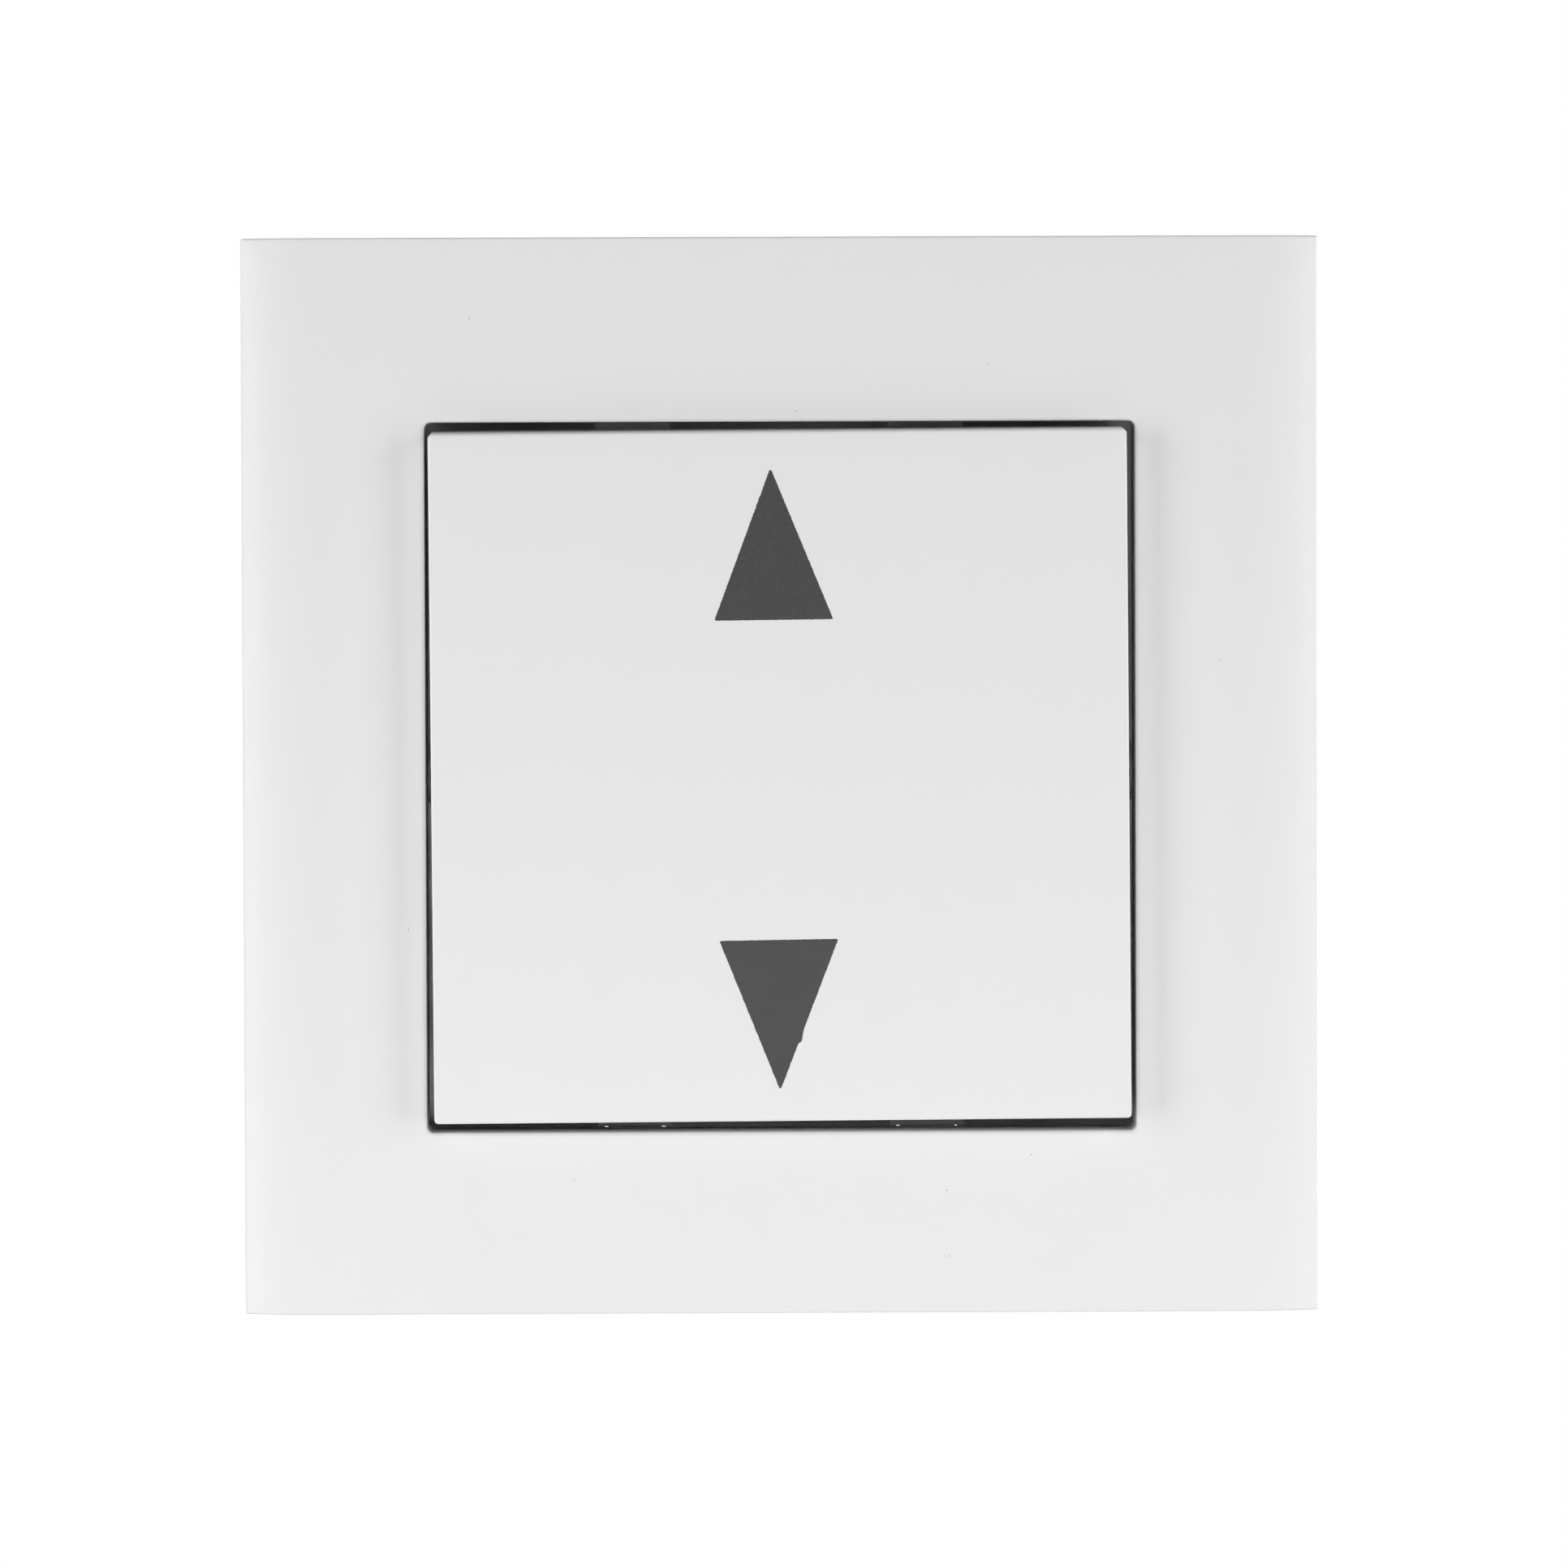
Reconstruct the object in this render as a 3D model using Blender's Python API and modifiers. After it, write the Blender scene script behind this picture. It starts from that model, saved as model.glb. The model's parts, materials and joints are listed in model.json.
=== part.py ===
"""A one-gang roller shutter switch: cover frame, rocker and the insert that sits in the wall box.

Everything is in metres. The wall's surface is the plane y = 0, the room is towards -Y and
the wall box towards +Y. Seen from the room, X points right and Z points up. The origin is
the wall box's centre on the wall's surface. A size that ends in _OUT is a distance from
the wall towards the room, and one that ends in _IN is a depth into the wall box.
"""

import math

import bmesh
import bpy
from mathutils import Matrix, Vector
from mathutils.geometry import delaunay_2d_cdt

MM = 0.001
SEAT_GAP = 0.3 * MM  # left between two pieces that touch
REACH = 30 * MM  # how far a cutter runs past what it cuts

# Cover frame
FRAME_ROOM = 2.7 * MM  # from the support ring's edge to the frame's wall
FRAME_CROWN_OUT = 9.5 * MM
FRAME_WALL = 1.8 * MM
ROLL_OFF_RADIUS = 14 * MM  # the front rounds off towards its left and right edges only
ROLL_OFF_WIDTH = 5.5 * MM
FRAME_EDGE_ROUND = 0.4 * MM
OPENING_ROOM = 1.7 * MM  # from the insert's cover to the opening's wall
OPENING_CORNER = 0.5 * MM
LIP_ROUND = 0.45 * MM
COLLAR_WALL = 1.2 * MM
FRAME_RIB = 1.0 * MM
FRAME_RIB_INSET = 20 * MM  # from the frame's outer side to a rib's middle
CLIP_WIDTH = 4 * MM
CLIP_PLACE = 11 * MM
CLIP_HOOK = 0.7 * MM
CLIP_HOOK_DEPTH = 1.4 * MM

# Rocker
ROCKER_GAP = 0.47 * MM
ROCKER_PROUD = 2.5 * MM
ROCKER_WALL = 1.6 * MM
ROCKER_FACE_WALL = 1.8 * MM
ROCKER_DEPTH = 5.8 * MM
ROCKER_DRAFT = 0.15 * MM
ROCKER_EDGE_ROUND = 0.5 * MM
ROCKER_CORNER = 0.65 * MM
ROCKER_TWIST = 0.3  # degrees, how crooked it is seated
ROCKER_RIB = 0.9 * MM
ROCKER_RIB_HEIGHT = 1.0 * MM
ROCKER_RIB_INSET = 3.6 * MM  # from the side wall's inner face to a rib's middle
ROCKER_LEG_WIDTH = 4 * MM
ROCKER_LEG_THICKNESS = 1.2 * MM
ROCKER_LEG_X = 9.5 * MM
ROCKER_LEG_PAST_PLUNGER = 2.0 * MM
ROCKER_LEG_HOOK = 0.5 * MM

# Rocker carrier and its hinge
HINGE_BELOW_FACE = 4.6 * MM
ROCKER_SWING = 4.5  # degrees each way
CARRIER_PAST_LEGS = 2.8 * MM
CARRIER_BESIDE_LEGS = 2.5 * MM
CARRIER_THICKNESS = 1.5 * MM
CHEEK_THICKNESS = 1.5 * MM
CHEEK_RADIUS = 2.3 * MM
TRUNNION_RADIUS = 1.5 * MM
BEARING_WALL = 2.4 * MM
BEARING_SIDE_GAP = 0.4 * MM
BEARING_WIDTH = 7 * MM
BEARING_MOUTH = 2.6 * MM  # a little less than the trunnion, so that it snaps in
BEARING_ABOVE_AXIS = 1.7 * MM

# Support ring
RING_EDGE = 3.6 * MM  # from a box screw's slot to the ring's edge
RING_THICKNESS = 1.0 * MM
RING_CORNER = 5 * MM
BOX_SCREW_SLOT = 3.8 * MM
BOX_SCREW_BRIDGE = 1.7 * MM  # the steel between a claw screw's hole and a box screw's slot
BOX_SCREW_SLOT_SPAN = 5  # degrees each way from the slot's middle
RING_NOTCH = 2.2 * MM

# Housing
HOUSING_CHAMFER = 4 * MM
HOUSING_WALL = 1.6 * MM
HOUSING_IN = 22 * MM
BACK_EDGE = 0.8 * MM
EAR_WIDTH = 16.8 * MM
EAR_REACH = 4.9 * MM
EAR_THICKNESS = 2.3 * MM
COVER_THICKNESS = 2.0 * MM
COVER_OVERLAP = 0.8 * MM
COVER_SCREW_X = 5.4 * MM
COVER_SCREW_EDGE = 2.2 * MM
COVER_SCREW_RADIUS = 1.0 * MM
COVER_SCREW_HEAD = 1.8 * MM
COVER_SCREW_HEAD_HEIGHT = 1.1 * MM
PAN_DOME_SHARE = 0.65  # of a pan head's height
RECESS_REACH_SHARE = 0.55  # of a screw head's radius, from its middle to a wing's end
RECESS_WIDTH_SHARE = 0.26
RECESS_DEPTH_SHARE = 0.55  # of the head's height
PARTITION = 1.2 * MM
CORNER_POST = 3 * MM

# Plungers and their springs
PLUNGER_BEFORE_CONTACT = 3.5 * MM
STEM_RADIUS = 1.8 * MM
GUIDE_WALL = 1.7 * MM
GUIDE_HEIGHT = 2.3 * MM
FLANGE_RADIUS = 3.2 * MM
FLANGE_OUT = 0.2 * MM
FLANGE_THICKNESS = 1.2 * MM
TAIL_RADIUS = 1.2 * MM
SPRING_SEAT_IN = 6.6 * MM
SPRING_SEAT_THICKNESS = 1.0 * MM
SPRING_SEAT_RIM = 0.8 * MM
SPRING_COIL_RADIUS = 2.35 * MM
SPRING_WIRE_RADIUS = 0.25 * MM
SPRING_TURNS = 4

# Contacts
LEVER_IN = 9.4 * MM
LEVER_THICKNESS = 0.6 * MM
LEVER_WIDTH = 6 * MM
LEVER_OVERHANG = 1.4 * MM
CONTACT_FROM_RAIL = 2.3 * MM
CONTACT_RADIUS = 1.25 * MM
CONTACT_HEIGHT = 0.8 * MM
STRIP_THICKNESS = 0.8 * MM
STRIP_WIDTH = 18 * MM
STRIP_END_IN = 19 * MM
FULCRUM_WIDTH = 1.2 * MM
FULCRUM_EAR = 0.8 * MM

# Terminals
WIRE_HOLE_RADIUS = 1.7 * MM
WIRE_FUNNEL_RADIUS = 2.3 * MM
WIRE_FUNNEL_DEPTH = 0.8 * MM
WIRE_X = 6 * MM
WIRE_FROM_RAIL = 3.2 * MM
COMMON_WIRE_Z = 2.8 * MM
RELEASE_FROM_RAIL = 6.6 * MM
RELEASE_WIDTH = 3.8 * MM
RELEASE_HEIGHT = 2.8 * MM
RELEASE_SHOULDER = 0.6 * MM
RELEASE_SHOULDER_LENGTH = 1.2 * MM
RELEASE_PROUD = 1.5 * MM
RELEASE_INNER_IN = 17.7 * MM
RELEASE_SLOT = 0.8 * MM
CLAMP_THICKNESS = 0.4 * MM
CLAMP_LOOP = 1.8 * MM  # how far the clamp reaches past the release lever's middle
CLAMP_LOOP_DEPTH = 1.2 * MM
CLAMP_ROOM = 1.7 * MM  # from the clamp's loop to the partition
CLAMP_KNEE = 2.2 * MM  # how far short of the release lever's middle its tongue bends
CLAMP_LEVER_GAP = 0.9 * MM
CLAMP_TONGUE_END = 2.4 * MM  # from the busbar's leg to the tongue's end

# Claws
CLAW_WIDTH = 12 * MM
CLAW_SHEET = 1.2 * MM
CLAW_KNUCKLE = 0.9 * MM
CLAW_PIN_RADIUS = 0.6 * MM
CLAW_PIN_LENGTH = 1.8 * MM
CLAW_AXIS_IN = 1.9 * MM
CLAW_LENGTH = 14.5 * MM
CLAW_FOOT = 2.5 * MM
CLAW_ARM = 6.3 * MM
CLAW_ARM_RISE = 20  # degrees
CLAW_TEETH = 5
CLAW_TOOTH_DEPTH = 1.0 * MM
CLAW_EAR_GAP = 0.4 * MM
CLAW_EAR_THICKNESS = 1.0 * MM
CLAW_EAR_WALL = 0.7 * MM
CLAW_SCREW_OFFSET = 3.0 * MM
CLAW_SCREW_RADIUS = 1.5 * MM
CLAW_SCREW_HEAD = 2.75 * MM
CLAW_SCREW_HEAD_HEIGHT = 2.0 * MM
CLAW_SCREW_END_IN = 11 * MM
NUT_SIZE = 5.5 * MM
NUT_THICKNESS = 2.4 * MM

# Sizes and places that follow from the ones above, from the terminals outwards
COMMON_RAIL = WIRE_FROM_RAIL + COMMON_WIRE_Z  # outer face of the common busbar
PARTITION_Z = COMMON_RAIL + SEAT_GAP + PARTITION / 2
CLAMP_REACH = RELEASE_FROM_RAIL + CLAMP_LOOP + CLAMP_THICKNESS / 2
CONTACT_RAIL = PARTITION_Z + PARTITION / 2 + CLAMP_ROOM + CLAMP_REACH  # and of the other two
CAVITY = 2 * (CONTACT_RAIL + SEAT_GAP)
HOUSING_SIZE = CAVITY + 2 * HOUSING_WALL
CONTACT_Z = CONTACT_RAIL - CONTACT_FROM_RAIL
PLUNGER_Z = CONTACT_Z - PLUNGER_BEFORE_CONTACT
APERTURE = HOUSING_SIZE + 2 * SEAT_GAP
COVER_SIZE = APERTURE + 2 * COVER_OVERLAP
COVER_SCREW_Z = HOUSING_SIZE / 2 + EAR_REACH - COVER_SCREW_EDGE
COVER_TOP = COVER_SIZE / 2 + EAR_REACH - COVER_OVERLAP - SEAT_GAP
CLAW_PIN_HOLE = CLAW_PIN_RADIUS + SEAT_GAP
CLAW_X = HOUSING_SIZE / 2 + SEAT_GAP + CLAW_EAR_WALL + CLAW_PIN_HOLE
CLAW_SCREW_X = CLAW_X + CLAW_SCREW_OFFSET
CLAW_HOLE = CLAW_SCREW_RADIUS + SEAT_GAP
BOX_SCREW_RADIUS = CLAW_SCREW_X + CLAW_HOLE + BOX_SCREW_BRIDGE + BOX_SCREW_SLOT / 2
RING_SIZE = 2 * (BOX_SCREW_RADIUS + BOX_SCREW_SLOT / 2 + RING_EDGE)
FRAME_SIZE = RING_SIZE + 2 * (FRAME_ROOM + FRAME_WALL)
FRAME_RIB_PLACE = FRAME_SIZE / 2 - FRAME_RIB_INSET
OPENING = 2 * (COVER_TOP + OPENING_ROOM)
ROCKER_SIZE = OPENING - 2 * ROCKER_GAP
ROCKER_FACE_OUT = FRAME_CROWN_OUT + ROCKER_PROUD
ROCKER_BACK_OUT = ROCKER_FACE_OUT - ROCKER_DEPTH
ROCKER_INSIDE_OUT = ROCKER_FACE_OUT - ROCKER_FACE_WALL
ROCKER_RIB_PLACE = ROCKER_SIZE / 2 - ROCKER_WALL - ROCKER_RIB_INSET
ROCKER_LEG_Z = PLUNGER_Z + ROCKER_LEG_PAST_PLUNGER
CARRIER_HEIGHT = 2 * (ROCKER_LEG_Z + ROCKER_LEG_THICKNESS + CARRIER_PAST_LEGS)
CARRIER_WIDTH = 2 * (ROCKER_LEG_X + ROCKER_LEG_WIDTH / 2 + CARRIER_BESIDE_LEGS)
HINGE_OUT = ROCKER_FACE_OUT - HINGE_BELOW_FACE
CARRIER_FRONT_OUT = ROCKER_INSIDE_OUT - SEAT_GAP
CARRIER_BACK_OUT = CARRIER_FRONT_OUT - CARRIER_THICKNESS
COVER_BACK_OUT = RING_THICKNESS + SEAT_GAP
COVER_FRONT_OUT = COVER_BACK_OUT + COVER_THICKNESS
COLLAR_BACK_OUT = COVER_FRONT_OUT + SEAT_GAP
COLLAR_SIZE = OPENING + 2 * COLLAR_WALL
BACK_WALL_IN = HOUSING_IN - HOUSING_WALL
FLANGE_BACK_IN = FLANGE_THICKNESS - FLANGE_OUT
SPRING_SEAT_BACK_IN = SPRING_SEAT_IN + SPRING_SEAT_THICKNESS
LEVER_BACK_IN = LEVER_IN + LEVER_THICKNESS
LEVER_AXIS_IN = LEVER_BACK_IN + SEAT_GAP
CONTACT_TRAVEL = CONTACT_Z * math.tan(math.radians(ROCKER_SWING))
STRIP_IN = LEVER_BACK_IN + CONTACT_HEIGHT + CONTACT_TRAVEL + SEAT_GAP + CONTACT_HEIGHT
STRIP_BACK_IN = STRIP_IN + STRIP_THICKNESS
PARTITION_IN = STRIP_BACK_IN + SEAT_GAP

# Each terminal's name, the outer face of its busbar and the side that face looks to
TERMINALS = (("up", CONTACT_RAIL, 1), ("common", COMMON_RAIL, 1), ("down", -CONTACT_RAIL, -1))


# Outlines, as lists of points in a plane


def arc(centre, radius, start, end, steps):
    """Points on an arc, from the start angle to the end angle in degrees."""
    angles = [math.radians(start + (end - start) * n / steps) for n in range(steps + 1)]
    return [(centre[0] + radius * math.cos(a), centre[1] + radius * math.sin(a)) for a in angles]


def circle(radius, centre=(0, 0), sides=24):
    return arc(centre, radius, 0, 360, sides)[:-1]


def rectangle(low, high):
    return [(low[0], low[1]), (high[0], low[1]), (high[0], high[1]), (low[0], high[1])]


def rounded_square(size, radius, steps=3):
    """A square about the origin whose corners are arcs."""
    inner = size / 2 - radius
    places = ((inner, inner, 0), (-inner, inner, 90), (-inner, -inner, 180), (inner, -inner, 270))
    return [p for x, z, start in places for p in arc((x, z), radius, start, start + 90, steps)]


def chamfered_square(size, chamfer):
    """A square about the origin with its corners cut at 45 degrees."""
    return rounded_square(size, chamfer, steps=1)


def arc_slot(radius, width, middle, span, steps=4):
    """A slot that runs along a circle about the origin, with round ends."""
    low, high = middle - span, middle + span
    ends = [arc((0, 0), radius, a, a, 1)[0] for a in (low, high)]
    return (
        arc((0, 0), radius + width / 2, low, high, steps)
        + arc(ends[1], width / 2, high, high + 180, steps)[1:-1]
        + arc((0, 0), radius - width / 2, high, low, steps)
        + arc(ends[0], width / 2, low + 180, low + 360, steps)[1:-1]
    )


def mirrored(outline, side):
    """The outline as it is for side 1, or with its first coordinate mirrored for side -1."""
    return [(side * u, v) for u, v in outline]


def dome(radius, tip, height, steps=3):
    """The profile of a round end, from its tip on the axis to its full radius."""
    angles = [math.radians(90 * n / steps) for n in range(steps + 1)]
    return [(radius * math.sin(a), tip + height * (1 - math.cos(a))) for a in angles]


def bent_strip(points, thickness):
    """The outline of a sheet strip that is bent at each inner point of a line."""
    path = [Vector(p) for p in points]
    normals = [Vector((-(b - a).y, (b - a).x)).normalized() for a, b in zip(path, path[1:])]
    offsets = [normals[0]]
    for before, after in zip(normals, normals[1:]):
        offsets.append((before + after) / (1 + before.dot(after)))
    offsets.append(normals[-1])
    left = [p + o * thickness / 2 for p, o in zip(path, offsets)]
    right = [p - o * thickness / 2 for p, o in zip(path, offsets)]
    return [tuple(p) for p in left + right[::-1]]


# Solids

# How an outline's two coordinates and its depth lie in space, by the axis it is drawn across
PLANES = {
    "X": Matrix(((0, 0, 1, 0), (1, 0, 0, 0), (0, 1, 0, 0), (0, 0, 0, 1))),
    "Y": Matrix(((1, 0, 0, 0), (0, 0, -1, 0), (0, 1, 0, 0), (0, 0, 0, 1))),
    "Z": Matrix.Identity(4),
}
FILL_WITH_HOLES = 5  # the triangulation's mode that joins its faces up and drops the holes
FILL_MERGE = 0.0001  # millimetres within which two points of an outline are one


def collection(name):
    found = bpy.data.collections.get(name)
    if not found:
        found = bpy.data.collections.new(name)
        bpy.context.scene.collection.children.link(found)
    return found


def add_object(name, data):
    made = bpy.data.objects.new(name, data)
    collection("roller_shutter_switch").objects.link(made)
    return made


def from_bmesh(name, bm):
    bmesh.ops.recalc_face_normals(bm, faces=bm.faces)
    mesh = bpy.data.meshes.new(name)
    bm.to_mesh(mesh)
    bm.free()
    return add_object(name, mesh)


def flat_solid(name, outlines, across, low, high):
    """Extrudes the first outline from low to high across an axis, with the others as holes.

    The outlines are filled by a constrained triangulation in millimetres: a filled 2D curve
    leaves gaps between points that lie level with each other.
    """
    points, loops = [], []
    for outline in outlines:
        loops.append(list(range(len(points), len(points) + len(outline))))
        points += [Vector(p) / MM for p in outline]
    corners, _, faces = delaunay_2d_cdt(points, [], loops, FILL_WITH_HOLES, FILL_MERGE)[:3]
    bm = bmesh.new()
    start = low if across != "Y" else -high
    verts = [bm.verts.new((u * MM, v * MM, start)) for u, v in corners]
    for face in faces:
        bm.faces.new([verts[n] for n in face])
    made = bmesh.ops.extrude_face_region(bm, geom=bm.faces[:])["geom"]
    raised = [v for v in made if isinstance(v, bmesh.types.BMVert)]
    bmesh.ops.translate(bm, verts=raised, vec=(0, 0, high - low))
    bmesh.ops.transform(bm, matrix=PLANES[across], verts=bm.verts)
    return from_bmesh(name, bm)


def block(name, low, high):
    """A box between two corners."""
    low, high = Vector(low), Vector(high)
    bm = bmesh.new()
    size = Matrix.Diagonal((*(high - low), 1))
    bmesh.ops.create_cube(bm, size=1, matrix=Matrix.Translation((low + high) / 2) @ size)
    return from_bmesh(name, bm)


def rod(name, start, end, radius, end_radius=None, sides=20):
    """A round bar, or a cone, between two points."""
    start, end = Vector(start), Vector(end)
    along = end - start
    place = Matrix.Translation((start + end) / 2) @ along.to_track_quat("Z", "Y").to_matrix().to_4x4()
    bm = bmesh.new()
    bmesh.ops.create_cone(
        bm,
        cap_ends=True,
        segments=sides,
        radius1=radius,
        radius2=radius if end_radius is None else end_radius,
        depth=along.length,
        matrix=place,
    )
    return smooth(from_bmesh(name, bm))


def loft(name, sections):
    """Joins outlines of equal point counts, each given with its distance out from the wall."""
    bm = bmesh.new()
    rings = [[bm.verts.new((x, -out, z)) for x, z in outline] for outline, out in sections]
    for ring, following in zip(rings, rings[1:]):
        for n in range(len(ring)):
            bm.faces.new((ring[n - 1], ring[n], following[n], following[n - 1]))
    bm.faces.new(rings[0])
    bm.faces.new(rings[-1])
    return from_bmesh(name, bm)


def turned(name, profile, x, z, steps=20):
    """Turns a profile about a line along Y. Its points are (radius, depth into the wall)."""
    bm = bmesh.new()
    points = [bm.verts.new((radius, 0, -depth)) for radius, depth in profile]
    for a, b in zip(points, points[1:]):
        bm.edges.new((a, b))
    mesh = bpy.data.meshes.new(name)
    bm.to_mesh(mesh)
    bm.free()
    made = add_object(name, mesh)
    made.location = (x, 0, z)
    made.rotation_euler = (math.radians(90), 0, 0)
    screw = made.modifiers.new("turn", "SCREW")
    screw.steps = screw.render_steps = steps
    screw.use_merge_vertices = True
    screw.merge_threshold = 0.001 * MM
    return made


def helix(name, x, z, start, end, coil_radius, wire_radius, turns, points_a_turn=12):
    """A coil spring along Y between two depths."""
    curve = bpy.data.curves.new(name, "CURVE")
    curve.dimensions = "3D"
    curve.bevel_depth, curve.bevel_resolution, curve.use_fill_caps = wire_radius, 2, True
    count = turns * points_a_turn + 1
    spline = curve.splines.new("POLY")
    spline.points.add(count - 1)
    for n, point in enumerate(spline.points):
        angle = 2 * math.pi * n / points_a_turn
        depth = start + (end - start) * n / (count - 1)
        point.co = (x + coil_radius * math.cos(angle), depth, z + coil_radius * math.sin(angle), 1)
    return add_object(name, curve)


def smooth(piece, angle=30):
    piece.data.shade_smooth()
    piece.data.set_sharp_from_angle(angle=math.radians(angle))
    return piece


def round_edges(piece, radius, segments, chosen):
    """Rounds the edges of a piece's own mesh that the chosen test picks."""
    bm = bmesh.new()
    bm.from_mesh(piece.data)
    edges = [e for e in bm.edges if chosen(e)]
    bmesh.ops.bevel(bm, geom=edges, offset=radius, segments=segments, profile=0.5, affect="EDGES")
    bm.to_mesh(piece.data)
    bm.free()
    return piece


def combine(piece, other, operation):
    made = piece.modifiers.new(f"{operation.lower()} {other.name}", "BOOLEAN")
    made.operation, made.solver, made.object = operation, "EXACT", other
    for old in list(other.users_collection):
        old.objects.unlink(other)
    collection("cutters").objects.link(other)
    other.hide_render, other.display_type = True, "WIRE"
    other.parent = piece
    return piece


def cut(piece, *cutters):
    for cutter in cutters:
        combine(piece, cutter, "DIFFERENCE")
    return piece


def fuse(piece, *additions):
    for addition in additions:
        combine(piece, addition, "UNION")
    return piece


def bore(name, x, z, radius, start, end, sides=20):
    """A round cutter along Y between two depths."""
    return rod(name, (x, start, z), (x, end, z), radius, sides=sides)


def finish(name, colour, roughness, metallic=0.0):
    made = bpy.data.materials.get(name)
    if not made:
        made = bpy.data.materials.new(name)
        made.use_nodes = True
        shader = made.node_tree.nodes["Principled BSDF"]
        shader.inputs["Base Color"].default_value = (*colour, 1)
        shader.inputs["Roughness"].default_value = roughness
        shader.inputs["Metallic"].default_value = metallic
    return made


def white_plastic():
    return finish("white_plastic", (0.85, 0.85, 0.85), 0.25)


def housing_plastic():
    return finish("housing_plastic", (0.62, 0.62, 0.60), 0.5)


def lever_plastic():
    return finish("lever_plastic", (0.85, 0.32, 0.05), 0.4)


def zinc_steel():
    return finish("zinc_steel", (0.62, 0.63, 0.65), 0.35, 1.0)


def spring_steel():
    return finish("spring_steel", (0.5, 0.5, 0.5), 0.3, 1.0)


def brass():
    return finish("brass", (0.78, 0.6, 0.28), 0.35, 1.0)


def paint(piece, material):
    piece.data.materials.clear()
    piece.data.materials.append(material)
    return piece


# Cover frame


def frame_profile(size, crown, radius):
    """The frame's section seen from above: flat in the middle, round towards both sides."""
    flat = FRAME_SIZE / 2 - ROLL_OFF_WIDTH
    span = math.degrees(math.asin((size / 2 - flat) / radius))
    right = arc((flat, radius - crown), radius, -90, -90 + span, 8)
    left = [(-x, y) for x, y in reversed(right)]
    return right + [(size / 2, 0), (-size / 2, 0)] + left


def sharp_front_edge(edge):
    reaches_front = min(v.co.y for v in edge.verts) < -RING_THICKNESS
    return reaches_front and edge.calc_face_angle(0) > math.radians(40)


def frame_shell():
    """The arched outer form with its small edge radius, hollowed from the back."""
    half = FRAME_SIZE / 2
    profile = frame_profile(FRAME_SIZE, FRAME_CROWN_OUT, ROLL_OFF_RADIUS)
    shell = flat_solid("cover_frame", [profile], "Z", -half, half)
    round_edges(shell, FRAME_EDGE_ROUND, 3, sharp_front_edge)
    inside = FRAME_SIZE - 2 * FRAME_WALL
    crown = FRAME_CROWN_OUT - FRAME_WALL
    hollow_profile = frame_profile(inside, crown, ROLL_OFF_RADIUS - FRAME_WALL)
    hollow_profile = [(x, y if y < 0 else REACH) for x, y in hollow_profile]
    hollow = flat_solid("frame_hollow", [hollow_profile], "Z", -inside / 2, inside / 2)
    return cut(shell, hollow)


def frame_ribs(shell):
    """Ribs from the collar to the outer wall, which bear on the support ring."""
    start, end = COLLAR_SIZE / 2 - COLLAR_WALL / 2, FRAME_SIZE / 2 - FRAME_WALL / 2
    back, front = -COVER_BACK_OUT, -(FRAME_CROWN_OUT - FRAME_WALL / 2 - LIP_ROUND)
    for side in (-1, 1):
        for place in (-FRAME_RIB_PLACE, FRAME_RIB_PLACE):
            across = sorted((side * start, side * end))
            along = (place - FRAME_RIB / 2, place + FRAME_RIB / 2)
            number = f"{side}_{place / MM:.0f}"
            level = block(f"rib_x_{number}", (across[0], front, along[0]), (across[1], back, along[1]))
            upright = block(f"rib_z_{number}", (along[0], front, across[0]), (along[1], back, across[1]))
            fuse(shell, level, upright)


def frame_clips(shell):
    """Four legs that go through the support ring's windows and hook behind it."""
    inner, outer = OPENING / 2, COLLAR_SIZE / 2
    hook_start, hook_end = SEAT_GAP, SEAT_GAP + CLIP_HOOK_DEPTH
    outline = [
        (-COLLAR_BACK_OUT - COLLAR_WALL, inner - COLLAR_WALL),
        (hook_end, inner - COLLAR_WALL),
        (hook_end, outer),
        (hook_start, outer + CLIP_HOOK),
        (hook_start, outer),
        (-COLLAR_BACK_OUT - COLLAR_WALL, outer),
    ]
    for top in (-1, 1):
        for side in (-1, 1):
            low = side * CLIP_PLACE - CLIP_WIDTH / 2
            shape = [(y, top * z) for y, z in outline]
            fuse(shell, flat_solid(f"clip_{top}_{side}", [shape], "X", low, low + CLIP_WIDTH))


def opening_cutter():
    """The opening's straight walls, flared at the front into a round lip."""
    steps = 4
    sections = [(rounded_square(OPENING, OPENING_CORNER), -REACH)]
    for n in range(steps + 1):
        angle = math.radians(90 * n / steps)
        wider = LIP_ROUND * (1 - math.cos(angle))
        out = FRAME_CROWN_OUT - LIP_ROUND + LIP_ROUND * math.sin(angle)
        sections.append((rounded_square(OPENING + 2 * wider, OPENING_CORNER + wider), out))
    widest = rounded_square(OPENING + 2 * LIP_ROUND, OPENING_CORNER + LIP_ROUND)
    sections.append((widest, FRAME_CROWN_OUT + REACH))
    return loft("frame_opening", sections)


def cover_frame():
    shell = frame_shell()
    collar_top = FRAME_CROWN_OUT - FRAME_WALL / 2
    outline = rounded_square(COLLAR_SIZE, OPENING_CORNER + COLLAR_WALL)
    collar = flat_solid("frame_collar", [outline], "Y", -collar_top, -COLLAR_BACK_OUT)
    fuse(shell, collar)
    frame_ribs(shell)
    frame_clips(shell)
    cut(shell, opening_cutter())
    return paint(smooth(shell), white_plastic())


# Rocker and its carrier


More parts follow.
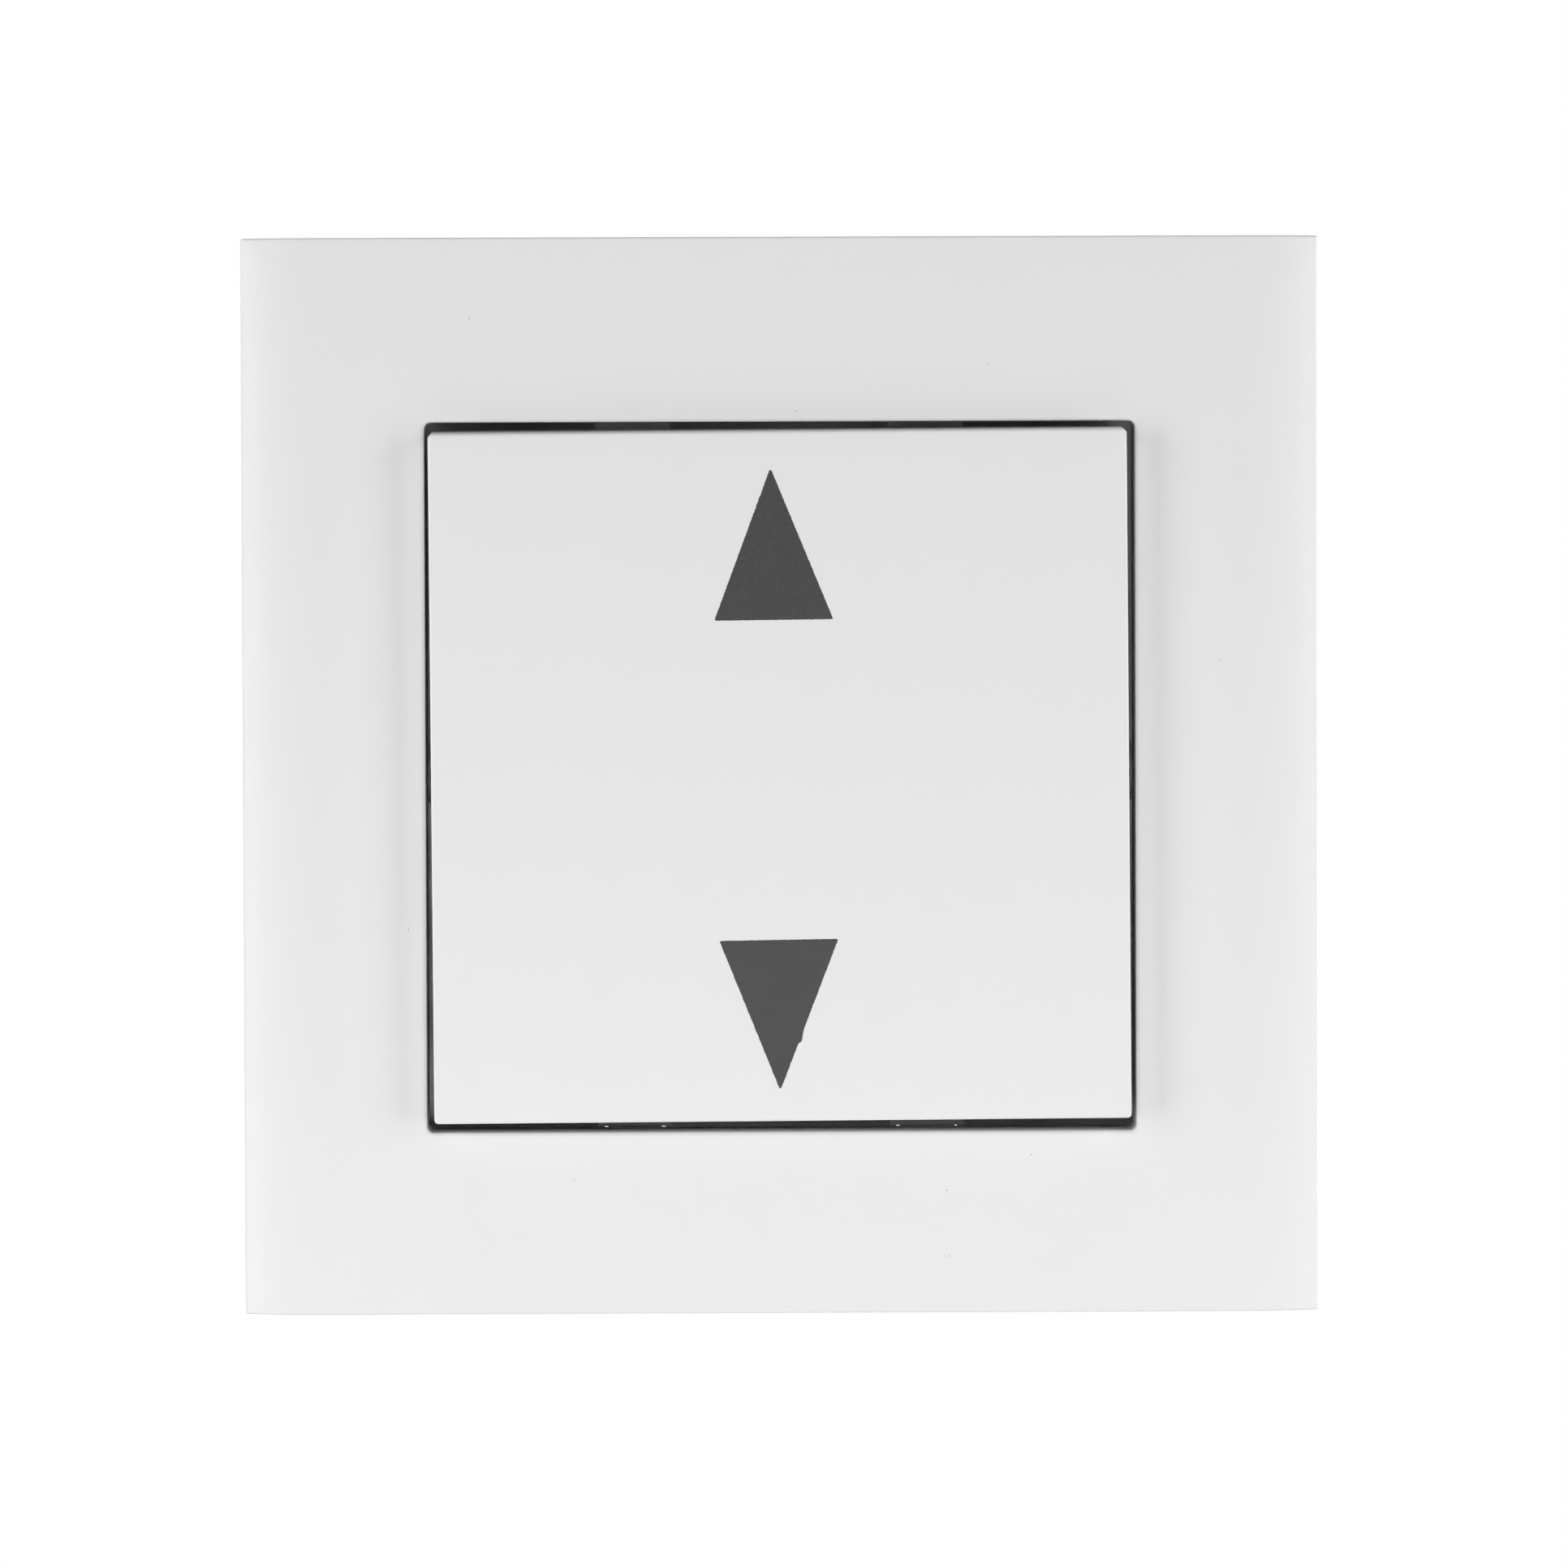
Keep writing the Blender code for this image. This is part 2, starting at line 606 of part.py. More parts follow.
def rocker_cap():
    """Drafted side walls, a round front edge and a flat face."""
    steps = 4
    sections = [(rounded_square(ROCKER_SIZE + 2 * ROCKER_DRAFT, ROCKER_CORNER), ROCKER_BACK_OUT)]
    for n in range(steps + 1):
        angle = math.radians(90 * n / steps)
        inset = ROCKER_EDGE_ROUND * (1 - math.cos(angle))
        out = ROCKER_FACE_OUT - ROCKER_EDGE_ROUND + ROCKER_EDGE_ROUND * math.sin(angle)
        sections.append((rounded_square(ROCKER_SIZE - 2 * inset, ROCKER_CORNER - inset), out))
    return loft("rocker", sections)


def rocker_legs(cap):
    """Four legs that snap through the carrier's windows and hook under it."""
    hook_front = CARRIER_BACK_OUT - SEAT_GAP
    tip = hook_front - ROCKER_LEG_THICKNESS
    root = ROCKER_INSIDE_OUT + ROCKER_FACE_WALL / 2
    outline = [(0, root), (0, tip), (ROCKER_LEG_THICKNESS, tip)]
    outline += [(ROCKER_LEG_THICKNESS + ROCKER_LEG_HOOK, hook_front), (ROCKER_LEG_THICKNESS, hook_front)]
    outline += [(ROCKER_LEG_THICKNESS, root)]
    for top in (-1, 1):
        for side in (-1, 1):
            low = side * ROCKER_LEG_X - ROCKER_LEG_WIDTH / 2
            shape = [(-out, top * (ROCKER_LEG_Z + z)) for z, out in outline]
            name = f"rocker_leg_{top}_{side}"
            fuse(cap, flat_solid(name, [shape], "X", low, low + ROCKER_LEG_WIDTH))


def rocker():
    """The cap that is pressed, seated a little crooked as the photographed one is."""
    cap = rocker_cap()
    inside = ROCKER_SIZE - 2 * ROCKER_WALL
    drafted = inside + 2 * ROCKER_DRAFT
    sections = [
        (rounded_square(inside, ROCKER_CORNER), ROCKER_INSIDE_OUT),
        (rounded_square(drafted, ROCKER_CORNER), ROCKER_BACK_OUT),
        (rounded_square(drafted, ROCKER_CORNER), ROCKER_BACK_OUT - REACH),
    ]
    cut(cap, loft("rocker_hollow", sections))
    half = inside / 2 + ROCKER_WALL / 2
    for place in (-ROCKER_RIB_PLACE, ROCKER_RIB_PLACE):
        low = (-half, -(ROCKER_INSIDE_OUT + ROCKER_FACE_WALL / 2), place - ROCKER_RIB / 2)
        high = (half, -(ROCKER_INSIDE_OUT - ROCKER_RIB_HEIGHT), place + ROCKER_RIB / 2)
        fuse(cap, block(f"rocker_rib_{place / MM:.0f}", low, high))
    rocker_legs(cap)
    cap.rotation_euler.y = -math.radians(ROCKER_TWIST)
    return paint(smooth(cap), white_plastic())


def carrier_cheeks(plate):
    """Two cheeks that reach back from the plate to the hinge, with a trunnion each."""
    outer = CARRIER_WIDTH / 2
    front = CARRIER_BACK_OUT + CARRIER_THICKNESS / 2
    outline = [(-front, -CHEEK_RADIUS)]
    outline += arc((-HINGE_OUT, 0), CHEEK_RADIUS, -90, 90, 8) + [(-front, CHEEK_RADIUS)]
    for side in (-1, 1):
        low, high = sorted((side * outer, side * (outer - CHEEK_THICKNESS)))
        cheek = flat_solid(f"cheek_{side}", [outline], "X", low, high)
        start = (side * (outer - CHEEK_THICKNESS / 2), -HINGE_OUT, 0)
        end = (side * (outer + BEARING_SIDE_GAP + BEARING_WALL), -HINGE_OUT, 0)
        fuse(plate, cheek, rod(f"trunnion_{side}", start, end, TRUNNION_RADIUS))


def rocker_carrier():
    half = (CARRIER_WIDTH / 2, CARRIER_HEIGHT / 2)
    wide = ROCKER_LEG_WIDTH / 2 + SEAT_GAP + CARRIER_HEIGHT / 2 * math.radians(ROCKER_TWIST)
    holes = []
    for top in (-1, 1):
        for side in (-1, 1):
            near, far = ROCKER_LEG_Z - SEAT_GAP, ROCKER_LEG_Z + ROCKER_LEG_THICKNESS + SEAT_GAP
            z = sorted((top * near, top * far))
            x = side * ROCKER_LEG_X
            holes.append(rectangle((x - wide, z[0]), (x + wide, z[1])))
    outline = rectangle((-half[0], -half[1]), half)
    plate = flat_solid("rocker_carrier", [outline] + holes, "Y", -CARRIER_FRONT_OUT, -CARRIER_BACK_OUT)
    carrier_cheeks(plate)
    return paint(smooth(plate), housing_plastic())


# Support ring


def ring_outline():
    """A square with round corners and a small round notch in the middle of each side."""
    half = RING_SIZE / 2
    outline = []
    for n in range(4):
        turn = Matrix.Rotation(math.radians(90 * n), 2)
        corner = half - RING_CORNER
        notch = arc((half, 0), RING_NOTCH, 270, 90, 6)
        side = notch + arc((corner, corner), RING_CORNER, 0, 90, 5)
        outline += [tuple(turn @ Vector(p)) for p in side]
    return outline


def screw_places():
    """Where the four cover screws go through cover, ring and housing."""
    return [(side * COVER_SCREW_X, top * COVER_SCREW_Z) for top in (1, -1) for side in (-1, 1)]


def ring_holes():
    holes = [chamfered_square(APERTURE, HOUSING_CHAMFER)]
    holes += [arc_slot(BOX_SCREW_RADIUS, BOX_SCREW_SLOT, 90 * n, BOX_SCREW_SLOT_SPAN) for n in range(4)]
    holes += [circle(COVER_SCREW_RADIUS + SEAT_GAP, place, 16) for place in screw_places()]
    holes += [circle(CLAW_HOLE, (side * CLAW_SCREW_X, 0), 20) for side in (-1, 1)]
    inner, outer = OPENING / 2 - SEAT_GAP, COLLAR_SIZE / 2 + SEAT_GAP
    for top in (-1, 1):
        for side in (-1, 1):
            z = sorted((top * inner, top * outer))
            x = side * CLIP_PLACE
            half = CLIP_WIDTH / 2 + SEAT_GAP
            holes.append(rectangle((x - half, z[0]), (x + half, z[1])))
    return holes


def claw_ears(ring):
    """Ears bent back from the ring, in pairs, each with a hole for a claw's pin."""
    wall = CLAW_PIN_HOLE + CLAW_EAR_WALL
    for side in (-1, 1):
        outline = rectangle((CLAW_X - wall, -RING_THICKNESS / 2), (CLAW_X + wall, CLAW_AXIS_IN + wall))
        hole = circle(CLAW_PIN_HOLE, (CLAW_X, CLAW_AXIS_IN), 12)
        shapes = [mirrored(outline, side), mirrored(hole, side)]
        for top in (-1, 1):
            near = CLAW_WIDTH / 2 + CLAW_EAR_GAP
            low, high = sorted((top * near, top * (near + CLAW_EAR_THICKNESS)))
            fuse(ring, flat_solid(f"claw_ear_{side}_{top}", shapes, "Z", low, high))


def support_ring():
    ring = flat_solid("support_ring", [ring_outline()] + ring_holes(), "Y", -RING_THICKNESS, 0)
    claw_ears(ring)
    return paint(smooth(ring), zinc_steel())


# Housing and its cover


def eared(size, chamfer, reach):
    """A chamfered square with one wide ear at the top and one at the bottom."""
    corners = chamfered_square(size, chamfer)
    half, ear = size / 2, EAR_WIDTH / 2
    top = [(ear, half), (ear, half + reach), (-ear, half + reach), (-ear, half)]
    bottom = [(-x, -z) for x, z in top]
    return corners[:2] + top + corners[2:6] + bottom + corners[6:]


def housing_ears(pot):
    """Ears behind the ring, which the cover's screws go into."""
    half, top = HOUSING_SIZE / 2 - HOUSING_WALL / 2, HOUSING_SIZE / 2 + EAR_REACH
    for side in (-1, 1):
        z = sorted((side * half, side * top))
        low, high = (-EAR_WIDTH / 2, SEAT_GAP, z[0]), (EAR_WIDTH / 2, SEAT_GAP + EAR_THICKNESS, z[1])
        fuse(pot, block(f"housing_ear_{side}", low, high))
    start, end = -REACH, SEAT_GAP + EAR_THICKNESS + SEAT_GAP
    for n, (x, z) in enumerate(screw_places()):
        cut(pot, bore(f"ear_hole_{n}", x, z, COVER_SCREW_RADIUS + SEAT_GAP, start, end, 16))


def housing_inside(pot):
    """Corner posts that carry the spring seat, and partitions between the terminals."""
    wall, back = CAVITY / 2 + HOUSING_WALL / 2, BACK_WALL_IN + HOUSING_WALL / 2
    inner = CAVITY / 2 - CORNER_POST
    for side in (-1, 1):
        for top in (-1, 1):
            x, z = sorted((side * inner, side * wall)), sorted((top * inner, top * wall))
            low, high = (x[0], SPRING_SEAT_BACK_IN + SEAT_GAP, z[0]), (x[1], back, z[1])
            post = block(f"post_{side}_{top}", low, high)
            outline = chamfered_square(HOUSING_SIZE - HOUSING_WALL, HOUSING_CHAMFER)
            trim = flat_solid(f"post_trim_{side}_{top}", [outline], "Y", 0, HOUSING_IN)
            combine(post, trim, "INTERSECT")
            fuse(pot, post)
        z = side * PARTITION_Z
        low = (-wall, PARTITION_IN, z - PARTITION / 2)
        high = (wall, back, z + PARTITION / 2)
        fuse(pot, block(f"partition_{side}", low, high))


def terminal_openings(pot):
    """Two funnelled wire entries and one release window for each terminal."""
    start, end = BACK_WALL_IN - HOUSING_WALL / 2, HOUSING_IN + WIRE_FUNNEL_DEPTH
    widest = 2 * WIRE_FUNNEL_RADIUS - WIRE_HOLE_RADIUS  # the cone runs on past the back wall
    profile = [(0, start), (WIRE_HOLE_RADIUS, start)]
    profile += [(WIRE_HOLE_RADIUS, HOUSING_IN - WIRE_FUNNEL_DEPTH), (widest, end), (0, end)]
    for name, rail, side in TERMINALS:
        for across in (-1, 1):
            x, z = across * WIRE_X, rail - side * WIRE_FROM_RAIL
            cut(pot, turned(f"wire_entry_{name}_{across}", profile, x, z, 16))
        half = (RELEASE_WIDTH / 2 + SEAT_GAP, RELEASE_HEIGHT / 2 + SEAT_GAP)
        z = rail - side * RELEASE_FROM_RAIL
        low, high = (-half[0], start, z - half[1]), (half[0], end, z + half[1])
        cut(pot, block(f"release_window_{name}", low, high))


def back_edge(edge):
    return min(v.co.y for v in edge.verts) > HOUSING_IN - BACK_EDGE


def housing():
    outline = chamfered_square(HOUSING_SIZE, HOUSING_CHAMFER)
    pot = flat_solid("housing", [outline], "Y", -RING_THICKNESS, HOUSING_IN)
    round_edges(pot, BACK_EDGE, 2, back_edge)
    chamfer = HOUSING_CHAMFER - HOUSING_WALL * (2 - math.sqrt(2))
    cavity = flat_solid("housing_cavity", [chamfered_square(CAVITY, chamfer)], "Y", -REACH, BACK_WALL_IN)
    cut(pot, cavity)
    housing_inside(pot)
    housing_ears(pot)
    terminal_openings(pot)
    return paint(smooth(pot), housing_plastic())


def bearing_forks(plate):
    """Two posts with a round bearing that is open at the front, so the trunnions snap in."""
    radius = TRUNNION_RADIUS + SEAT_GAP
    opening = math.degrees(math.asin(BEARING_MOUTH / 2 / radius))
    half, mouth = BEARING_WIDTH / 2, BEARING_MOUTH / 2
    top, foot = -(HINGE_OUT + BEARING_ABOVE_AXIS), -(COVER_BACK_OUT + COVER_THICKNESS / 2)
    outline = [(foot, -half), (top, -half), (top, -mouth - SEAT_GAP)]
    outline += arc((-HINGE_OUT, 0), radius, -180 + opening, 180 - opening, 14)
    outline += [(top, mouth + SEAT_GAP), (top, half), (foot, half)]
    start = CARRIER_WIDTH / 2 + BEARING_SIDE_GAP
    for side in (-1, 1):
        low, high = sorted((side * start, side * (start + BEARING_WALL)))
        fuse(plate, flat_solid(f"bearing_{side}", [outline], "X", low, high))


def housing_cover():
    outline = eared(COVER_SIZE, HOUSING_CHAMFER, COVER_TOP - COVER_SIZE / 2)
    plate = flat_solid("housing_cover", [outline], "Y", -COVER_FRONT_OUT, -COVER_BACK_OUT)
    bearing_forks(plate)
    for side in (-1, 1):
        z, inside = side * PLUNGER_Z, -(COVER_BACK_OUT + COVER_THICKNESS / 2)
        guide_end = -(COVER_FRONT_OUT + GUIDE_HEIGHT)
        guide = STEM_RADIUS + SEAT_GAP + GUIDE_WALL
        fuse(plate, bore(f"guide_{side}", 0, z, guide, guide_end, inside, 24))
        cut(plate, bore(f"guide_bore_{side}", 0, z, STEM_RADIUS + SEAT_GAP, -REACH, 0, 20))
    for n, (x, z) in enumerate(screw_places()):
        cut(plate, bore(f"cover_hole_{n}", x, z, COVER_SCREW_RADIUS + SEAT_GAP, -REACH, 0, 16))
    return paint(smooth(plate), housing_plastic())


def pan_screw(name, x, z, seat_out, head_radius, head_height, shank_radius, end_in):
    """A pan-head screw along Y with a cross recess, its head resting on the seat."""
    under = -(seat_out + SEAT_GAP)
    crown = under - head_height
    profile = dome(head_radius, crown, head_height * PAN_DOME_SHARE)
    profile += [(head_radius, under), (shank_radius, under)]
    profile += [(shank_radius, end_in - shank_radius), (shank_radius / 2, end_in), (0, end_in)]
    made = turned(name, profile, x, z, 16)
    reach, half = head_radius * RECESS_REACH_SHARE, head_radius * RECESS_WIDTH_SHARE / 2
    for n, (half_x, half_y) in enumerate(((reach, half), (half, reach))):
        top = (half_x, half_y, -crown + head_height)
        bottom = (-half_x, -half_y, -crown - head_height * RECESS_DEPTH_SHARE)
        cut(made, block(f"{name}_recess_{n}", bottom, top))
    return paint(made, zinc_steel())


def cover_screws():
    for n, (x, z) in enumerate(screw_places(), 1):
        pan_screw(
            f"cover_screw_{n}",
            x,
            z,
            COVER_FRONT_OUT,
            COVER_SCREW_HEAD,
            COVER_SCREW_HEAD_HEIGHT,
            COVER_SCREW_RADIUS,
            SEAT_GAP + EAR_THICKNESS,
        )


# Plungers, springs and contacts


def plunger(name, z):
    """A stem with a domed tip, a flange for the spring and a thin tail to the contact lever."""
    tip = -(CARRIER_BACK_OUT - SEAT_GAP)
    tail_end = LEVER_IN - SEAT_GAP
    profile = dome(STEM_RADIUS, tip, STEM_RADIUS)
    profile += [(STEM_RADIUS, -FLANGE_OUT), (FLANGE_RADIUS, -FLANGE_OUT)]
    profile += [(FLANGE_RADIUS, FLANGE_BACK_IN), (TAIL_RADIUS, FLANGE_BACK_IN)]
    profile += reversed(dome(TAIL_RADIUS, tail_end, -TAIL_RADIUS))
    return paint(turned(name, profile, 0, z, 20), lever_plastic())


def return_spring(name, z):
    margin = SEAT_GAP + SPRING_WIRE_RADIUS
    start, end = FLANGE_BACK_IN + margin, SPRING_SEAT_IN - margin
    coil = helix(name, 0, z, start, end, SPRING_COIL_RADIUS, SPRING_WIRE_RADIUS, SPRING_TURNS)
    return paint(coil, spring_steel())


def spring_seat():
    """A plate across the housing with a rimmed hole for each plunger's tail."""
    size = CAVITY - 2 * SEAT_GAP
    outline = chamfered_square(size, HOUSING_CHAMFER)
    holes = [circle(TAIL_RADIUS + SEAT_GAP, (0, side * PLUNGER_Z), 16) for side in (-1, 1)]
    plate = flat_solid("spring_seat", [outline] + holes, "Y", SPRING_SEAT_IN, SPRING_SEAT_BACK_IN)
    inner = SPRING_COIL_RADIUS + SPRING_WIRE_RADIUS + SEAT_GAP
    outer = inner + SPRING_SEAT_THICKNESS
    for side in (-1, 1):
        place = (0, side * PLUNGER_Z)
        rim = [circle(outer, place), circle(inner, place)]
        front, back = SPRING_SEAT_IN - SPRING_SEAT_RIM, SPRING_SEAT_IN + SPRING_SEAT_THICKNESS / 2
        fuse(plate, flat_solid(f"spring_rim_{side}", rim, "Y", front, back))
    return paint(smooth(plate), housing_plastic())


def contact_tip(name, z, base, tip):
    """A slightly tapered contact rivet that stands out of a strip from its base to its tip."""
    foot = base + math.copysign(STRIP_THICKNESS / 2, base - tip)
    return rod(name, (0, foot, z), (0, tip, z), CONTACT_RADIUS, CONTACT_RADIUS * 0.8, 16)


def contact_lever():
    """A see-saw that tips with the plungers and closes one contact or the other."""
    half_x, half_z = LEVER_WIDTH / 2, CONTACT_Z + LEVER_OVERHANG
    outline = rectangle((-half_x, -half_z), (half_x, half_z))
    tabs = half_x + SEAT_GAP + FULCRUM_EAR
    outline = outline[:2] + [(half_x, -MM), (tabs, -MM), (tabs, MM), (half_x, MM)] + outline[2:]
    outline += [(-half_x, MM), (-tabs, MM), (-tabs, -MM), (-half_x, -MM)]
    lever = flat_solid("contact_lever", [outline], "Y", LEVER_IN, LEVER_BACK_IN)
    for side in (-1, 1):
        tip = LEVER_BACK_IN + CONTACT_HEIGHT
        fuse(lever, contact_tip(f"moving_contact_{side}", side * CONTACT_Z, LEVER_BACK_IN, tip))
    return paint(smooth(lever), brass())


def busbar(name, rail, side, end):
    """An angle strip: a front face from the rail to an end, and a leg back along the rail."""
    inner = rail - side * STRIP_THICKNESS
    outline = [(STRIP_IN, end), (STRIP_IN, rail), (STRIP_END_IN, rail), (STRIP_END_IN, inner)]
    outline += [(STRIP_BACK_IN, inner), (STRIP_BACK_IN, end)]
    return flat_solid(name, [outline], "X", -STRIP_WIDTH / 2, STRIP_WIDTH / 2)


def contact_busbars():
    for name, rail, side in TERMINALS:
        if name != "common":
            end = side * (CONTACT_Z - 2 * CONTACT_RADIUS)
            bar = busbar(f"{name}_busbar", rail, side, end)
            tip = contact_tip(f"{name}_contact", side * CONTACT_Z, STRIP_IN, STRIP_IN - CONTACT_HEIGHT)
            fuse(bar, tip)
            paint(smooth(bar), brass())


def common_busbar():
    """The common terminal's strip, with the fulcrum and two notched ears for the lever."""
    bar = busbar("common_busbar", COMMON_RAIL, 1, -COMMON_RAIL / 2)
    inside = STRIP_IN + STRIP_THICKNESS / 2
    ridge = [(inside, -FULCRUM_WIDTH), (LEVER_AXIS_IN, 0), (inside, FULCRUM_WIDTH)]
    half = LEVER_WIDTH / 2
    fuse(bar, flat_solid("fulcrum", [ridge], "X", -half, half))
    front, notch, wide = LEVER_IN - MM, LEVER_AXIS_IN + SEAT_GAP, MM + SEAT_GAP
    ear = [(inside, -2 * wide), (front, -2 * wide), (front, -wide), (notch, -wide), (notch, wide)]
    ear += [(front, wide), (front, 2 * wide), (inside, 2 * wide)]
    for side in (-1, 1):
        near = half + SEAT_GAP
        low, high = sorted((side * near, side * (near + FULCRUM_EAR)))
        fuse(bar, flat_solid(f"fulcrum_ear_{side}", [ear], "X", low, high))
    return paint(smooth(bar), brass())


def wire_clamps():
    """A bent spring strip in each terminal, which presses a wire against the busbar's leg."""
    for name, rail, side in TERMINALS:
        near = rail - side * (STRIP_THICKNESS + SEAT_GAP + CLAMP_THICKNESS / 2)
        bend = rail - side * (RELEASE_FROM_RAIL + CLAMP_LOOP)
        knee = rail - side * (RELEASE_FROM_RAIL - CLAMP_KNEE)
        front = STRIP_BACK_IN + SEAT_GAP + CLAMP_THICKNESS
        path = [(STRIP_END_IN - STRIP_THICKNESS, near), (front, near), (front, bend)]
        path += [(front + CLAMP_LOOP_DEPTH, bend), (RELEASE_INNER_IN - CLAMP_LEVER_GAP, knee)]
        path.append((STRIP_END_IN, rail - side * CLAMP_TONGUE_END))
        width = STRIP_WIDTH / 2 - SEAT_GAP
        outline = bent_strip(path, CLAMP_THICKNESS)
        paint(flat_solid(f"wire_clamp_{name}", [outline], "X", -width, width), spring_steel())


def release_levers():
    """A push lever in each terminal's window, with a shoulder that keeps it from falling out."""
    for name, rail, side in TERMINALS:
        z = rail - side * RELEASE_FROM_RAIL
        half, wide = RELEASE_HEIGHT / 2, RELEASE_HEIGHT / 2 + RELEASE_SHOULDER
        shoulder_back = BACK_WALL_IN - SEAT_GAP
        shoulder_front = shoulder_back - RELEASE_SHOULDER_LENGTH
        end = HOUSING_IN + RELEASE_PROUD
        right = [(RELEASE_INNER_IN, half), (shoulder_front, half), (shoulder_front, wide)]
        right += [(shoulder_back, wide), (shoulder_back, half), (end, half)]
        outline = [(y, z + h) for y, h in right] + [(y, z - h) for y, h in reversed(right)]
        low, high = -RELEASE_WIDTH / 2, RELEASE_WIDTH / 2
        lever = flat_solid(f"release_lever_{name}", [outline], "X", low, high)
        start = (low - MM, end - RELEASE_SLOT, z - RELEASE_SLOT / 2)
        stop = (high + MM, end + MM, z + RELEASE_SLOT / 2)
        cut(lever, block(f"release_slot_{name}", start, stop))
        hang(paint(lever, lever_plastic()), axis_empty(f"release_{name}_axis", (0, HOUSING_IN, z)))


# Claws


def claw_outline():
    """A long leg with a foot and an inclined arm, about the claw's axis, seen from above."""
    rise = math.radians(CLAW_ARM_RISE)
    knuckle, sheet = CLAW_KNUCKLE, CLAW_SHEET
    turn = Matrix.Rotation(rise, 2)
    arm_end = [turn @ Vector((CLAW_ARM, -knuckle)), turn @ Vector((CLAW_ARM, sheet - knuckle))]
    outer = sheet - knuckle  # the long leg's outer face
    crossing = (outer * math.sin(rise) + outer) / math.cos(rise)
    foot = outer + CLAW_FOOT
    outline = arc((0, 0), knuckle, 180, 270 + CLAW_ARM_RISE, 8)
    outline += [tuple(arm_end[0]), tuple(arm_end[1]), (outer, crossing)]
    outline += [(outer, CLAW_LENGTH - sheet), (foot, CLAW_LENGTH - sheet), (foot, CLAW_LENGTH)]
    return outline + [(-knuckle, CLAW_LENGTH)]


def claw_teeth(side):
    """The teeth's gaps, as one zigzag cutter along the foot's outer edge."""
    tip = CLAW_X + CLAW_SHEET - CLAW_KNUCKLE + CLAW_FOOT
    step = CLAW_WIDTH / CLAW_TEETH
    zigzag = [(tip + REACH / 10, -CLAW_WIDTH)]
    zigzag.append((tip, -CLAW_WIDTH))
    for n in range(CLAW_TEETH):
        start = -CLAW_WIDTH / 2 + n * step
        zigzag += [(tip, start), (tip - CLAW_TOOTH_DEPTH, start + step / 2)]
    zigzag += [(tip, CLAW_WIDTH / 2), (tip, CLAW_WIDTH), (tip + REACH / 10, CLAW_WIDTH)]
    low = CLAW_AXIS_IN + CLAW_LENGTH - 2 * CLAW_SHEET
    return flat_solid(f"claw_teeth_{side}", [mirrored(zigzag, side)], "Y", low, low + 4 * CLAW_SHEET)


def claw(name, side):
    """A spreading claw: the nut pulls its arm, and its long leg swings out into the wall box."""
    half = CLAW_WIDTH / 2
    placed = [(CLAW_X + u, CLAW_AXIS_IN + v) for u, v in claw_outline()]
    body = flat_solid(name, [mirrored(placed, side)], "Z", -half, half)
    x = side * CLAW_X
    pin_end = Vector((0, 0, half + CLAW_PIN_LENGTH))
    axis = Vector((x, CLAW_AXIS_IN, 0))
    fuse(body, rod(f"{name}_pin", axis - pin_end, axis + pin_end, CLAW_PIN_RADIUS, sides=12))

    outer = CLAW_X + CLAW_SHEET - CLAW_KNUCKLE
    free = NUT_SIZE / 2 + SEAT_GAP + CLAW_PIN_RADIUS / 4
    x_range = sorted((side * (CLAW_X - 2 * CLAW_KNUCKLE), side * (outer + 0.01 * MM)))
    back = CLAW_AXIS_IN + CLAW_LENGTH - 2 * CLAW_SHEET
    start = CLAW_AXIS_IN + CLAW_SHEET - CLAW_KNUCKLE + 0.1 * MM
    cut(body, block(f"{name}_window", (x_range[0], start, -free), (x_range[1], back, free)))

    radius = CLAW_SCREW_RADIUS + SEAT_GAP
    near, far = CLAW_SCREW_OFFSET - 2 * MM, CLAW_SCREW_OFFSET + 2.15 * MM
    u = sorted((side * near, side * far))
    slot = block(f"{name}_slot", (u[0], -2 * CLAW_SHEET, -radius), (u[1], 2 * CLAW_SHEET, radius))
    slot.location = (x, CLAW_AXIS_IN, 0)
    slot.rotation_euler.z = side * math.radians(CLAW_ARM_RISE)
    cut(body, slot, claw_teeth(side))
    return paint(smooth(body), zinc_steel())


def nut_front():
    """Where the nut's front face lies at rest, just behind the claw's arm."""
    rise = math.radians(CLAW_ARM_RISE)
    arm_back = CLAW_ARM * math.sin(rise) + (CLAW_SHEET - CLAW_KNUCKLE) * math.cos(rise)
    return CLAW_AXIS_IN + arm_back + SEAT_GAP


def claw_nut(name, side):
    half, x = NUT_SIZE / 2, side * CLAW_SCREW_X
    outline = [(x + u, z) for u, z in rounded_square(NUT_SIZE, half / 6, 2)]
    hole = circle(CLAW_HOLE, (x, 0), 20)
    front = nut_front()
    return paint(smooth(flat_solid(name, [outline, hole], "Y", front, front + NUT_THICKNESS)), zinc_steel())


def claws():
    for name, side in (("left", -1), ("right", 1)):
        swings = axis_empty(f"claw_{name}_axis", (side * CLAW_X, CLAW_AXIS_IN, 0))
        hang(claw(f"claw_{name}", side), swings)
        runs = axis_empty(f"claw_screw_{name}_axis", (side * CLAW_SCREW_X, 0, 0))
        hang(claw_nut(f"claw_nut_{name}", side), runs)
        screw = pan_screw(
            f"claw_screw_{name}",
            side * CLAW_SCREW_X,
            0,
            RING_THICKNESS,
            CLAW_SCREW_HEAD,
            CLAW_SCREW_HEAD_HEIGHT,
            CLAW_SCREW_RADIUS,
            CLAW_SCREW_END_IN,
        )
        hang(screw, runs)


# Assembly


def axis_empty(name, place):
    """An empty on a joint's axis, for the pieces that move about it."""
    made = add_object(name, None)
    made.location = place
    made.empty_display_size = 4 * MM
    return made


def hang(piece, axis):
    """Parents a piece to an axis and leaves it where it is."""
    piece.parent = axis
    piece.matrix_parent_inverse = Matrix.Translation(axis.location).inverted()
    return piece


